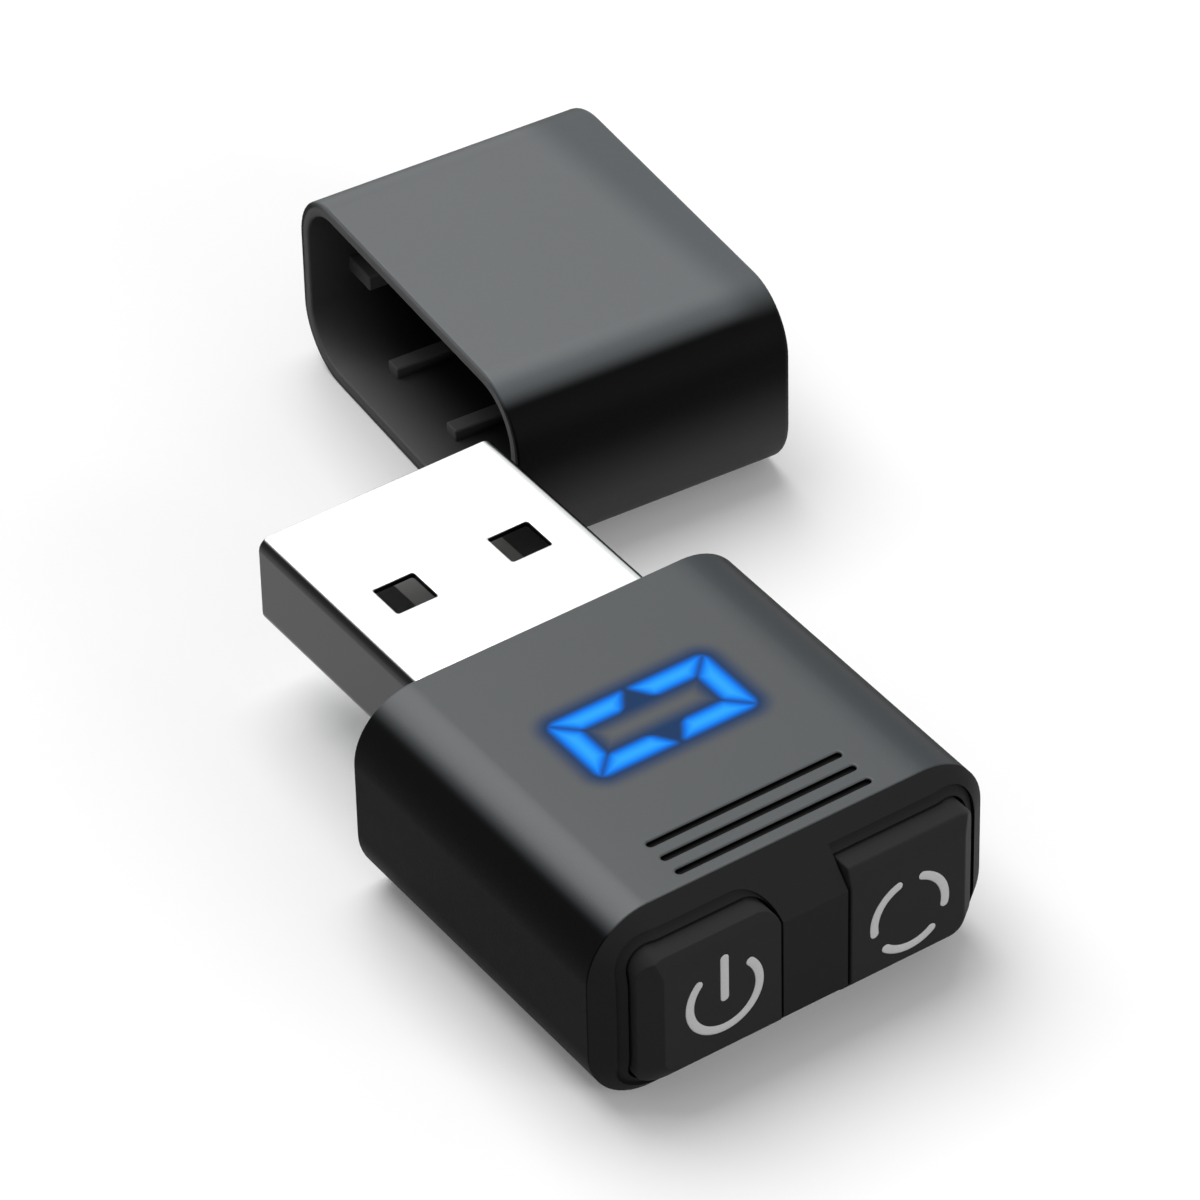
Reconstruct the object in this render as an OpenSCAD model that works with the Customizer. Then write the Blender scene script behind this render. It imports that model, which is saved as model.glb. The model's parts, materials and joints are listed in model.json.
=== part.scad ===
// Plug-in mouse jiggler: a USB stick with a lit digit, two push buttons and a loose cap.
// The origin is the centre of the sleeve's flat base. The plug points along +Y.

/* [Housing] */
// Width of the housing and of the cap
housing_w = 19.5; // [18:0.1:26]
// Height of the housing and of the cap
housing_h = 9.7; // [9.2:0.1:12]
// Length of the sleeve
sleeve_l = 16.8; // [15.5:0.1:24]
// Outer radius of the four long edges
edge_r = 3; // [2.5:0.1:3.6]
// Wall of the sleeve
sleeve_wall = 0.9; // [0.7:0.1:1.1]
// Front wall of the sleeve, which the plug passes through
front_wall = 1.2; // [0.8:0.1:1.6]
// Width of the ledges that carry the circuit board
ledge_w = 0.6; // [0.4:0.1:1]

/* [Grooves on top] */
// Number of finger grooves
groove_count = 3; // [1:1:4]
// Length of each groove across the housing
groove_l = 9.6; // [6:0.1:12]
// Width of each groove
groove_w = 0.36; // [0.25:0.01:0.5]
// Depth of each groove
groove_depth = 0.3; // [0.15:0.05:0.45]
// Distance between two grooves
groove_pitch = 1; // [0.8:0.05:1.1]
// Rear edge of the sleeve to the last groove
groove_rear = 0.85; // [0.6:0.05:1.2]

/* [Rear end] */
// How far the end block stands behind the sleeve
end_l = 2; // [1.6:0.1:2.6]
// How far its bevel comes in on all sides
bevel_in = 2.3; // [1.8:0.1:2.4]
// Width of the bar between the two buttons
bar_w = 3.2; // [2.4:0.1:4]
// Frame left above and below each button
frame_top = 1.2; // [1.1:0.05:1.4]
// Frame left at the outer side of each button
frame_side = 1.32; // [1.2:0.02:1.6]
// Corner radius of the button windows
window_r = 1.2; // [0.8:0.1:1.6]
// Width of the sunk step round each window
step_w = 0.45; // [0.3:0.05:0.55]
// Depth of that step
step_depth = 0.22; // [0.1:0.01:0.3]
// Gap round each button
button_gap = 0.13; // [0.1:0.01:0.2]
// How far the buttons stand proud of the bar
button_proud = 0.05; // [0:0.05:0.3]
// How far the top of a button's face leans back
brow_back = 0.3; // [0.1:0.05:0.6]
// How far a button moves in when pressed
button_travel = 0.3; // [0.2:0.05:0.35]
// Width of each of the two snap legs behind the bar
leg_w = 1.4; // [1:0.1:1.6]
// Length of the snap legs
leg_l = 2; // [1.6:0.1:2.4]
// Thickness of the snap legs
leg_t = 0.8; // [0.6:0.05:1]
// How far the hooks of the legs reach into the sleeve's wall
hook_h = 0.3; // [0.2:0.05:0.4]
// Length of the hooks
hook_l = 0.7; // [0.5:0.05:0.9]

/* [Plug] */
// Width of the metal plug
plug_w = 12; // [12:0.1:12.1]
// Height of the metal plug
plug_h = 4.5; // [4.5:0.1:4.6]
// How far the plug stands out of the sleeve
plug_out = 12.9; // [11.8:0.1:16]
// Length of the plug inside the sleeve, front wall included
plug_in = 4; // [3.4:0.1:4.2]
// Height of the plug's centre above the base
plug_z = 6.1; // [5.9:0.05:6.2]
// Thickness of the plug's sheet metal
shell_t = 0.3; // [0.25:0.01:0.35]
// Outer corner radius of the plug
shell_r = 0.6; // [0.5:0.05:0.8]
// Width of the square holes in the plug
hole_w = 2.05; // [1.8:0.05:2.5]
// Length of the square holes
hole_l = 1.95; // [1.8:0.05:2.5]
// Distance between the centres of the holes
hole_pitch = 5.8; // [5:0.1:6]
// Tip of the plug to the centre of the holes
hole_from_tip = 6.6; // [5:0.1:7]
// Thickness of the plastic tongue in the plug
tongue_t = 1.85; // [1.7:0.05:1.95]
// Depth of the open mouth over the tongue
mouth_depth = 9.6; // [8.8:0.1:10]
// Width of one contact strip
contact_w = 1; // [0.9:0.05:1.1]
// Thickness of the contact strips
contact_t = 0.2; // [0.15:0.01:0.25]

/* [Display] */
// Height of the digit, which runs across the housing
digit_l = 7.9; // [6.5:0.1:9.6]
// Width of the digit
digit_w = 4; // [3.6:0.1:4.2]
// Width of one segment
segment_w = 0.86; // [0.7:0.02:1]
// Gap between two segments
segment_gap = 0.14; // [0.1:0.02:0.2]
// Rim of the light block at the ends of the digit
reflector_end = 0.6; // [0.5:0.05:0.7]
// Rim of the light block beside the digit
reflector_side = 0.5; // [0.4:0.05:0.6]
// Thickness of the diffuser sheet
diffuser_t = 0.3; // [0.2:0.05:0.35]
// Skin of the sleeve left over the digit
display_skin = 0.45; // [0.35:0.05:0.6]

/* [Circuit board] */
// Thickness of the circuit board
board_t = 0.8; // [0.6:0.1:1]
// Flange of a button to the switch behind it
switch_standoff = 0.75; // [0.6:0.05:1]
// Width of the push switches
switch_w = 4.4; // [4:0.1:4.8]
// Height of the push switches
switch_h = 2; // [1.8:0.1:2.2]
// Depth of the push switches
switch_d = 2.2; // [2:0.1:2.3]
// Length of the chip under the board
chip_l = 9.8; // [8:0.1:10.2]
// Width of the chip without its leads
chip_w = 3.9; // [3.5:0.1:4.2]
// Thickness of the chip
chip_t = 1.3; // [1:0.1:1.5]
// Number of leads on each side of the chip
chip_pins = 8; // [5:1:8]

/* [Cap] */
// Tip of the plug to the inside of the cap's closed end when the cap is on
cap_tip_gap = 0.15; // [0.1:0.05:0.5]
// Wall of the cap
cap_wall = 0.7; // [0.6:0.05:0.9]
// Thickness of the cap's closed end
cap_end = 0.75; // [0.6:0.05:0.8]
// Small bevel round the closed end
cap_bevel = 0.35; // [0.2:0.05:0.5]
// Width of the ribs on the cap's floor
rib_w = 0.85; // [0.6:0.05:1]
// Height of the ribs on the cap's floor
rib_h = 0.6; // [0.4:0.05:0.8]
// Distance between two floor ribs
rib_pitch = 5.3; // [4.5:0.1:5.6]
// Mouth of the cap to the front ends of its ribs
rib_back = 2; // [1:0.1:3]
// Gap between the plug and the guides on the cap's side walls
guide_gap = 1.15; // [0.35:0.05:1.5]
// Height of the lower edge of the guides
guide_z = 4.2; // [4:0.1:5]
// Thickness of the guides
guide_h = 0.8; // [0.6:0.05:1.2]
// Side of the plug to the middle of the cap's mouth as the cap lies beside it
cap_aside = 1.75; // [1.6:0.05:8]
// Tip of the plug to the same point, forward
cap_ahead = 9.3; // [8.9:0.1:15]
// Direction of the cap's closed end, in degrees from +X
cap_turn = -4.4; // [-6:0.1:4]

/* [Hidden] */

$fn = 48;
eps = 0.01;              // a cut runs this far past the face that it opens
fit_gap = 0.05;          // slip fit between fixed parts
seat_gap = 0.1;          // loose fit of a part that is only trapped
root = 0.2;              // how far a rib or a leg reaches into the wall that carries it

front_y = sleeve_l / 2;
rear_y = -sleeve_l / 2;
tip_y = front_y + plug_out;
shell_rear_y = front_y - plug_in;
mid_z = housing_h / 2;

cavity_w = housing_w - 2 * sleeve_wall;
cavity_h = housing_h - 2 * sleeve_wall;
cavity_r = edge_r - sleeve_wall;

// Button windows
window_w = housing_w / 2 - frame_side - bar_w / 2;
window_h = housing_h - 2 * frame_top;
window_x = bar_w / 2 + window_w / 2;
button_w = window_w - 2 * button_gap;
button_h = window_h - 2 * button_gap;
button_r = window_r - button_gap;
button_wall = 0.75;
button_face_t = 1.05;                    // face of the button to its hollow
button_hollow_r = 0.67;                  // corners of the hollow
flange_t = 0.6;
flange_y = rear_y + fit_gap;             // outer face of the flange, just inside the bezel
flange_back_y = flange_y + flange_t;
flange_clear = 0.25;                     // flange to the snap legs
stem_r = 0.8;

// Circuit board
board_top = plug_z - plug_h / 2;
board_bottom = board_top - board_t;
board_w = cavity_w - 2 * seat_gap;
board_front_y = front_y - front_wall - seat_gap;
board_rear_y = flange_back_y + switch_standoff;
ledge_h = 0.7;
chip_y = (board_rear_y + shell_rear_y) / 2;

// Push switches: the case starts at the rear edge of the board
switch_x = window_x - 0.35;              // a little inside the middle of the button
switch_z = board_top + switch_h / 2;
case_front = board_rear_y;
cover_t = 0.15;
plunger_w = 1.6;
plunger_h = 0.9;
collar = 0.25;                           // collar that keeps the plunger in the case
plunger_end = case_front + 0.55;
dome_r = 0.72;
dome_h = 0.4;
dome_t = 0.08;
well_h = 1.5;                            // room for the dome in the case

// Plug
inner_w = plug_w - 2 * shell_t;
inner_h = plug_h - 2 * shell_t;
inner_r = shell_r - shell_t;
tongue_bottom = plug_z - inner_h / 2;
tongue_top = tongue_bottom + tongue_t;
block_front_y = tip_y - mouth_depth;
contact_x = [-3.5, -1, 1, 3.5];          // standard places of the four contacts
contact_front = [1.2, 2.2, 2.2, 1.2];    // tip of the plug to the front end of each
contact_top = tongue_top + 0.02;
tongue_back = 0.25;                      // tip of the plug to the front of the tongue
solder_leg_y = [shell_rear_y + 0.9, front_y - front_wall - 0.75];
solder_leg_w = 1;
solder_leg_out = 0.5;                    // solder legs below the board
seam_w = 0.12;                           // joint of the folded sheet along the underside
seam_depth = 0.1;
cheek_t = 0.8;                           // cheeks of the sleeve beside the plug

// Display
tail_l = 0.55;                           // plug to the bend of a contact's tail
foot_l = 0.45;                           // bend to the end of its solder foot
reflector_l = digit_l + 2 * reflector_end;
reflector_w = digit_w + 2 * reflector_side;
digit_y = shell_rear_y - tail_l - foot_l - fit_gap - reflector_w / 2;
pocket_top = housing_h - display_skin;
diffuser_top = pocket_top - fit_gap;
reflector_top = diffuser_top - diffuser_t;

// Small parts: a row behind the light block, and one part on each side of the block
resistor = [1.2, 0.7, 0.4];
resistor_pitch = 1.75;
capacitor = [1.6, 0.8, 0.8];
led = [1, 0.5, 0.4];
part_gap = 0.6;
part_y = digit_y - reflector_w / 2 - part_gap - resistor.x / 2;
side_part_x = (reflector_l / 2 + cavity_w / 2) / 2;

// Cap
cap_x = plug_w / 2 + cap_aside;
cap_y = tip_y + cap_ahead;
cap_l = plug_out + cap_tip_gap + cap_end;
guide_x = plug_w / 2 + guide_gap;

housing_colour = [0.33, 0.35, 0.36];
end_colour = [0.1, 0.1, 0.1];
steel = [0.8, 0.81, 0.82];
gold = [0.85, 0.68, 0.3];
black_plastic = [0.06, 0.06, 0.06];
white_plastic = [0.9, 0.9, 0.88];
board_colour = [0.05, 0.28, 0.16];

// ---- Shared shapes ----

// Outline with four round corners, centred
module rounded_outline(w, h, r) {
    square([w - 2 * r, h], center = true);
    square([w, h - 2 * r], center = true);
    for (sx = [-1, 1], sy = [-1, 1])
        translate([sx * (w / 2 - r), sy * (h / 2 - r)])
            circle(r);
}

// Bar with that outline, running along Y from y0 to y1, centred at height z
module bar_y(w, h, r, y0, y1, z) {
    translate([0, y1, z])
        rotate([90, 0, 0])
            linear_extrude(y1 - y0)
                rounded_outline(w, h, r);
}

// Block whose bevel narrows it by inset on every side over its length. Its wide face is at y = 0
// and it runs towards -Y. The long edges are cones, so the bevel is the same all round.
module bevel_block(w, h, r, l, inset) {
    flat_w = w - 2 * r;
    flat_h = h - 2 * r;
    for (sx = [-1, 1], sz = [-1, 1])
        translate([sx * flat_w / 2, 0, sz * flat_h / 2])
            rotate([90, 0, 0])
                cylinder(h = l, r1 = r, r2 = r - inset);
    translate([-flat_w / 2, 0, 0])
        rotate([90, 0, 90])
            linear_extrude(flat_w)
                polygon([[0, -h / 2], [-l, inset - h / 2], [-l, h / 2 - inset], [0, h / 2]]);
    translate([0, 0, -flat_h / 2])
        linear_extrude(flat_h)
            polygon([[-w / 2, 0], [inset - w / 2, -l], [w / 2 - inset, -l], [w / 2, 0]]);
}

module box_between(low, high) {
    translate(low)
        cube(high - low);
}

// ---- Housing ----

module groove(y) {
    for (sx = [-1, 1])
        translate([sx * (groove_l - groove_w) / 2, y, housing_h - groove_depth])
            cylinder(h = groove_depth + eps, d = groove_w);
    box_between([(groove_w - groove_l) / 2, y - groove_w / 2, housing_h - groove_depth],
        [(groove_l - groove_w) / 2, y + groove_w / 2, housing_h + eps]);
}

// Puts what is drawn under a ceiling at z = 0 against the roof (+1) or the floor (-1) of the sleeve
module at_wall(side) {
    translate([0, 0, mid_z])
        mirror([0, 0, side > 0 ? 0 : 1])
            translate([0, 0, cavity_h / 2])
                children();
}

// Recess for one hook of the end bezel
module hook_recess(side) {
    at_wall(side)
        box_between([-leg_w / 2 - seat_gap, rear_y + leg_l - hook_l - seat_gap, -leg_t],
            [leg_w / 2 + seat_gap, rear_y + leg_l + seat_gap, hook_h + fit_gap]);
}

module housing_sleeve() {
    color(housing_colour)
        difference() {
            union() {
                difference() {
                    bar_y(housing_w, housing_h, edge_r, rear_y, front_y, mid_z);
                    bar_y(cavity_w, cavity_h, cavity_r, rear_y - eps, front_y - front_wall, mid_z);
                }
                // Ledges under the circuit board
                for (sx = [-1, 1])
                    translate([sx * (cavity_w + root - ledge_w) / 2, 0, 0])
                        box_between([-(ledge_w + root) / 2, board_rear_y + switch_d,
                            board_bottom - ledge_h],
                            [(ledge_w + root) / 2, front_y - front_wall + root, board_bottom]);
                // Cheeks that centre the plug behind the front wall
                for (sx = [-1, 1])
                    translate([sx * (plug_w / 2 + seat_gap + cheek_t / 2), 0, 0])
                        box_between([-cheek_t / 2, shell_rear_y, board_top + seat_gap],
                            [cheek_t / 2, front_y - front_wall + root, housing_h - sleeve_wall + root]);
            }
            bar_y(plug_w + 2 * fit_gap, plug_h + 2 * fit_gap, shell_r + fit_gap,
                front_y - front_wall - eps, front_y + eps, plug_z);
            for (i = [0 : groove_count - 1])
                groove(rear_y + groove_rear + i * groove_pitch);
            // Pocket that thins the roof over the digit
            box_between([-reflector_l / 2 - seat_gap, digit_y - reflector_w / 2 - seat_gap, mid_z],
                [reflector_l / 2 + seat_gap, digit_y + reflector_w / 2 + seat_gap, pocket_top]);
            for (side = [-1, 1])
                hook_recess(side);
        }
}

// ---- Rear end ----

// The bevelled end of the housing, moved back by proud
module end_form(proud) {
    translate([0, rear_y - proud, mid_z])
        bevel_block(housing_w, housing_h, edge_r, end_l, bevel_in);
}

// Bar through one window: side is -1 on the power side and +1 on the mode side. The corners beside
// the bar are round on the power side and square on the mode side.
module window_bar(side, w, h, r, y0, y1) {
    translate([side * window_x, 0, 0]) {
        bar_y(w, h, r, y0, y1, mid_z);
        if (side > 0)
            box_between([-w / 2, y0, mid_z - h / 2], [r - w / 2, y1, mid_z + h / 2]);
    }
}

// One snap leg, whose hook slopes at the front so that it slides in
module snap_leg(side) {
    hook_flat = 0.2;
    at_wall(side)
        translate([-leg_w / 2, rear_y, -fit_gap])
            rotate([90, 0, 90])
                linear_extrude(leg_w)
                    polygon([[-2 * root, 0], [leg_l - hook_l, 0], [leg_l - hook_l, hook_h],
                        [leg_l - hook_l + hook_flat, hook_h], [leg_l, -leg_t / 4], [leg_l, -leg_t],
                        [-2 * root, -leg_t]]);
}

module end_bezel() {
    step_out = window_w + step_w;
    color(end_colour)
        difference() {
            union() {
                difference() {
                    end_form(0);
                    // Sunk step round each window: it leaves the bar whole
                    for (side = [-1, 1])
                        translate([side * step_w / 2, 0, 0])
                            window_bar(side, step_out, window_h + 2 * step_w, window_r + step_w,
                                rear_y - end_l - eps, rear_y - step_depth);
                }
                intersection() {
                    end_form(-step_depth);
                    for (side = [-1, 1])
                        translate([side * step_w / 2, 0, 0])
                            window_bar(side, step_out + 2 * eps, window_h + 2 * step_w, window_r + step_w,
                                rear_y - end_l, rear_y);
                }
                for (side = [-1, 1])
                    snap_leg(side);
            }
            for (side = [-1, 1])
                window_bar(side, window_w, window_h, window_r, rear_y - end_l - 1, rear_y + eps);
        }
}

// Upper half of a button: its top wall is straight and its sides slope like the housing's end. Above
// the bevel's edge the face leans back a little, so that it stands out of the bevel as a brow.
module button_brow(side) {
    face_y = rear_y - button_proud - end_l;
    brow_z = housing_h - bevel_in;
    intersection() {
        window_bar(side, button_w, button_h, button_r, face_y - 1, rear_y);
        linear_extrude(housing_h)
            polygon([[-housing_w / 2, rear_y - button_proud], [bevel_in - housing_w / 2, face_y],
                [housing_w / 2 - bevel_in, face_y], [housing_w / 2, rear_y - button_proud]]);
        translate([-housing_w / 2, 0, 0])
            rotate([90, 0, 90])
                linear_extrude(housing_w)
                    polygon([[rear_y, mid_z], [face_y, mid_z], [face_y, brow_z],
                        [face_y + brow_back, housing_h - frame_top], [rear_y, housing_h - frame_top]]);
    }
}

module button(side) {
    face_y = rear_y - button_proud - end_l;
    color(end_colour)
        difference() {
            union() {
                intersection() {
                    end_form(button_proud);
                    window_bar(side, button_w, button_h, button_r, face_y - 1, rear_y);
                }
                button_brow(side);
                window_bar(side, button_w, button_h, button_r, rear_y - button_proud, flange_back_y);
                // Flange that stops the button behind the bezel
                intersection() {
                    bar_y(cavity_w - 2 * seat_gap, cavity_h - 2 * seat_gap, cavity_r - seat_gap,
                        flange_y, flange_back_y, mid_z);
                    translate([side * (leg_w / 2 + flange_clear + housing_w / 4), 0, mid_z])
                        cube([housing_w / 2, 2 * sleeve_l, housing_h], center = true);
                }
            }
            // Hollow back, with a stem left in it that meets the switch
            difference() {
                window_bar(side, button_w - 2 * button_wall, button_h - 2 * button_wall,
                    button_hollow_r, face_y + button_face_t, flange_back_y + eps);
                translate([side * switch_x, flange_back_y, switch_z])
                    rotate([90, 0, 0])
                        cylinder(h = end_l + button_proud, r = stem_r);
            }
        }
}

module power_button() {
    button(-1);
}

module mode_button() {
    button(1);
}

// ---- Push switches ----

module switch_case(side) {
    well_w = plunger_w + 2 * collar + 2 * seat_gap;
    well_d = dome_h + 0.7 + button_travel;
    notch_r = 0.25;
    notch_y = case_front + 1.5;
    color(black_plastic)
        translate([side * switch_x, 0, 0])
            difference() {
                box_between([-switch_w / 2, case_front + cover_t, board_top],
                    [switch_w / 2, case_front + switch_d, board_top + switch_h - cover_t]);
                box_between([-well_w / 2, case_front, switch_z - well_h / 2],
                    [well_w / 2, case_front + cover_t + well_d, switch_z + well_h / 2]);
                for (sx = [-1, 1])
                    translate([sx * switch_w / 2, notch_y, switch_z])
                        cylinder(h = 2 * switch_h, r = notch_r, center = true);
            }
}

// Folded sheet over the top and the front of the case, with a mould mark in the top
module switch_cover(side) {
    hole_w = plunger_w + 2 * seat_gap;
    hole_h = plunger_h + 2 * seat_gap;
    mark_y = case_front + 1.3;
    mark_r = 0.5;
    color(steel)
        translate([side * switch_x, 0, 0])
            difference() {
                box_between([-switch_w / 2, case_front, board_top + seat_gap],
                    [switch_w / 2, case_front + switch_d, board_top + switch_h]);
                box_between([-switch_w, case_front + cover_t, board_top],
                    [switch_w, case_front + 2 * switch_d, board_top + switch_h - cover_t]);
                box_between([-hole_w / 2, case_front - eps, switch_z - hole_h / 2],
                    [hole_w / 2, case_front + 2 * cover_t, switch_z + hole_h / 2]);
                translate([0, mark_y, board_top + switch_h])
                    cylinder(h = 1, r = mark_r, center = true);
            }
}

// Snap dome: a thin bowl whose crown rests on the plunger
module switch_dome(side) {
    color(steel)
        translate([side * switch_x, plunger_end, switch_z])
            rotate([-90, 0, 0])
                rotate_extrude()
                    polygon([[0, 0], [0.3, 0], [0.62, 0.1], [dome_r, dome_h], [dome_r - 0.06, dome_h],
                        [0.57, 0.1 + dome_t], [0.28, dome_t], [0, dome_t]]);
}

module switch_plunger(side) {
    color(white_plastic)
        translate([side * switch_x, 0, switch_z]) {
            box_between([-plunger_w / 2, flange_back_y, -plunger_h / 2],
                [plunger_w / 2, plunger_end, plunger_h / 2]);
            box_between([-plunger_w / 2 - collar, case_front + cover_t + fit_gap / 2, -plunger_h / 2],
                [plunger_w / 2 + collar, plunger_end, plunger_h / 2]);
        }
}

module power_switch_case() {
    switch_case(-1);
}

module power_switch_cover() {
    switch_cover(-1);
}

module power_switch_dome() {
    switch_dome(-1);
}

module power_switch_plunger() {
    switch_plunger(-1);
}

module mode_switch_case() {
    switch_case(1);
}

module mode_switch_cover() {
    switch_cover(1);
}

module mode_switch_dome() {
    switch_dome(1);
}

module mode_switch_plunger() {
    switch_plunger(1);
}

// ---- Plug ----

module usb_shell() {
    color(steel)
        difference() {
            union() {
                bar_y(plug_w, plug_h, shell_r, shell_rear_y, tip_y, plug_z);
                // Four solder legs, which go down through the board
                for (sx = [-1, 1], y = solder_leg_y)
                    translate([sx * (plug_w - shell_t) / 2, y, 0])
                        box_between([-shell_t / 2, -solder_leg_w / 2, board_bottom - solder_leg_out],
                            [shell_t / 2, solder_leg_w / 2, plug_z]);
            }
            bar_y(inner_w, inner_h, inner_r, shell_rear_y - eps, tip_y + eps, plug_z);
            for (sx = [-1, 1])
                translate([sx * hole_pitch / 2, tip_y - hole_from_tip, plug_z])
                    cube([hole_w, hole_l, 2 * plug_h], center = true);
            box_between([-seam_w / 2, shell_rear_y - eps, plug_z - plug_h / 2 - eps],
                [seam_w / 2, tip_y + eps, plug_z - plug_h / 2 + seam_depth]);
        }
}

// Path of one contact in the plane of its length: strip, bend and solder foot
module contact_profile(front, grow) {
    tail_y = shell_rear_y - tail_l;
    foot_y = tail_y - foot_l;
    polygon([[tip_y - front + grow, contact_top + grow], [tail_y, contact_top + grow],
        [tail_y, board_top + contact_t], [foot_y, board_top + contact_t], [foot_y, board_top],
        [tail_y + contact_t, board_top], [tail_y + contact_t, contact_top - contact_t - grow],
        [tip_y - front + grow, contact_top - contact_t - grow]]);
}

module contact(i, grow) {
    width = contact_w + 2 * grow;
    translate([contact_x[i] - width / 2, 0, 0])
        rotate([90, 0, 90])
            linear_extrude(width)
                contact_profile(contact_front[i], grow);
}

// Tongue and rear block in one moulding, with a channel for each contact
module usb_insulator() {
    slip = 0.02;
    pit = 0.5;
    color([0.07, 0.07, 0.07])
        difference() {
            bar_y(inner_w - 2 * slip, inner_h - 2 * slip, inner_r,
                shell_rear_y, tip_y - tongue_back, plug_z);
            // Open mouth over the tongue
            box_between([-inner_w / 2, block_front_y, tongue_top],
                [inner_w / 2, tip_y, tongue_top + inner_h]);
            for (i = [0 : 3])
                contact(i, slip);
            // Small pit at the front end of each strip
            for (i = [0 : 3])
                box_between([contact_x[i] - pit / 2, tip_y - contact_front[i], tongue_top - pit],
                    [contact_x[i] + pit / 2, tip_y - contact_front[i] + pit, tongue_top + eps]);
        }
}

module contact_power() {
    color(gold)
        contact(3, 0);
}

module contact_data_minus() {
    color(gold)
        contact(2, 0);
}

module contact_data_plus() {
    color(gold)
        contact(1, 0);
}

module contact_ground() {
    color(gold)
        contact(0, 0);
}

// ---- Circuit board and what is on it ----

module circuit_board() {
    color(board_colour)
        difference() {
            box_between([-board_w / 2, board_rear_y, board_bottom],
                [board_w / 2, board_front_y, board_top]);
            for (sx = [-1, 1], y = solder_leg_y)
                translate([sx * (plug_w - shell_t) / 2, y, board_top])
                    cube([shell_t + 2 * seat_gap, solder_leg_w + 2 * seat_gap, 3 * board_t],
                        center = true);
        }
}

// Chip under the board, with gull-wing leads
module microcontroller() {
    standoff = 0.1;
    lead_pitch = 1.27;
    lead_w = 0.4;
    lead_t = 0.18;
    lead_z = board_bottom - standoff - chip_t / 2;
    color(black_plastic) {
        box_between([-chip_l / 2, chip_y - chip_w / 2, board_bottom - standoff - chip_t],
            [chip_l / 2, chip_y + chip_w / 2, board_bottom - standoff]);
        for (i = [0 : chip_pins - 1], sy = [-1, 1])
            translate([(i - (chip_pins - 1) / 2) * lead_pitch - lead_w / 2, chip_y, 0])
                mirror([0, sy > 0 ? 0 : 1, 0])
                    translate([0, chip_w / 2, 0])
                        rotate([90, 0, 90])
                            linear_extrude(lead_w)
                                polygon([[-0.1, lead_z + lead_t / 2], [0.32, lead_z + lead_t / 2],
                                    [0.42, board_bottom], [1.05, board_bottom],
                                    [1.05, board_bottom - lead_t], [0.56, board_bottom - lead_t],
                                    [0.46, lead_z - lead_t / 2], [-0.1, lead_z - lead_t / 2]]);
    }
}

// Metal can on a ceramic base
module crystal() {
    base = [2.5, 3.2, 0.4];
    lid = [2.1, 2.8, 0.3];
    color(steel)
        translate([side_part_x, digit_y, board_top]) {
            translate([0, 0, base.z / 2])
                cube(base, center = true);
            translate([0, 0, base.z + lid.z / 2])
                cube(lid, center = true);
        }
}

// Three-legged regulator: two legs on one side and one on the other
module voltage_regulator() {
    body_w = 1.3;
    body_l = 2.9;
    body_z = [0.1, 1];
    leg_w = 0.4;
    leg_t = 0.2;
    foot = 0.5;              // feet out of the body
    color(black_plastic)
        translate([-side_part_x, digit_y, board_top]) {
            box_between([-body_w / 2, -body_l / 2, body_z[0]], [body_w / 2, body_l / 2, body_z[1]]);
            for (p = [[-1, -0.95], [-1, 0.95], [1, 0]])
                mirror([p[0] < 0 ? 1 : 0, 0, 0])
                    translate([body_w / 2, p[1], 0]) {
                        box_between([-leg_t, -leg_w / 2, 0], [foot, leg_w / 2, leg_t]);
                        box_between([-leg_t / 2, -leg_w / 2, 0], [leg_t / 2, leg_w / 2, body_z[1] / 2]);
                    }
        }
}

// Small two-ended part: a body between two metal ends that are a little thicker
module two_ended(size) {
    end_cap = 0.3;
    thinner = 0.06;
    translate([0, 0, size.z / 2])
        cube(size - [end_cap, thinner, thinner], center = true);
    for (sx = [-1, 1])
        translate([sx * (size.x - end_cap) / 2, 0, size.z / 2])
            cube([end_cap, size.y, size.z], center = true);
}

module capacitors() {
    edge = 0.35;             // capacitors to the side edge of the cavity
    apart = 6;               // the two under the board, from centre to centre
    color([0.72, 0.6, 0.42])
        for (sx = [-1, 1]) {
            translate([sx * (cavity_w / 2 - edge - capacitor.x / 2), part_y, board_top])
                two_ended(capacitor);
            translate([sx * apart / 2, shell_rear_y + 1, board_bottom])
                mirror([0, 0, 1])
                    two_ended(capacitor);
        }
}

module segment_resistors() {
    color(black_plastic)
        for (i = [-3 : 3])
            translate([i * resistor_pitch, part_y, board_top])
                rotate([0, 0, 90])
                    two_ended(resistor);
}

// ---- Display ----

seg_long = (digit_l - segment_w) / 2;     // pitch of the segments along the digit
seg_cross = digit_w - segment_w;          // pitch of the segments across it

// Centre and direction of the seven segments: three cross bars and four side bars
segment_places = concat(
    [for (i = [-1 : 1]) [i * seg_long, 0, 90]],
    [for (i = [-1, 1], j = [-1, 1]) [i * seg_long / 2, j * seg_cross / 2, 0]]);

// Bar with pointed ends, lying along X
module segment_outline(l) {
    half = l / 2 - segment_gap / 2 * sqrt(2);
    w = segment_w / 2;
    polygon([[-half, 0], [w - half, w], [half - w, w], [half, 0], [half - w, -w], [w - half, -w]]);
}

module segment_column(p, z0, z1) {
    translate([p[0], digit_y + p[1], z0])
        rotate([0, 0, p[2]])
            linear_extrude(z1 - z0)
                segment_outline(p[2] == 0 ? seg_long : seg_cross);
}

module display_reflector() {
    color(white_plastic)
        difference() {
            box_between([-reflector_l / 2, digit_y - reflector_w / 2, board_top],
                [reflector_l / 2, digit_y + reflector_w / 2, reflector_top]);
            for (p = segment_places)
                segment_column(p, board_top - eps, reflector_top + eps);
        }
}

module display_leds() {
    color([0.95, 0.93, 0.6])
        for (p = segment_places)
            translate([p[0], digit_y + p[1], board_top])
                rotate([0, 0, p[2]])
                    two_ended(led);
}

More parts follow.
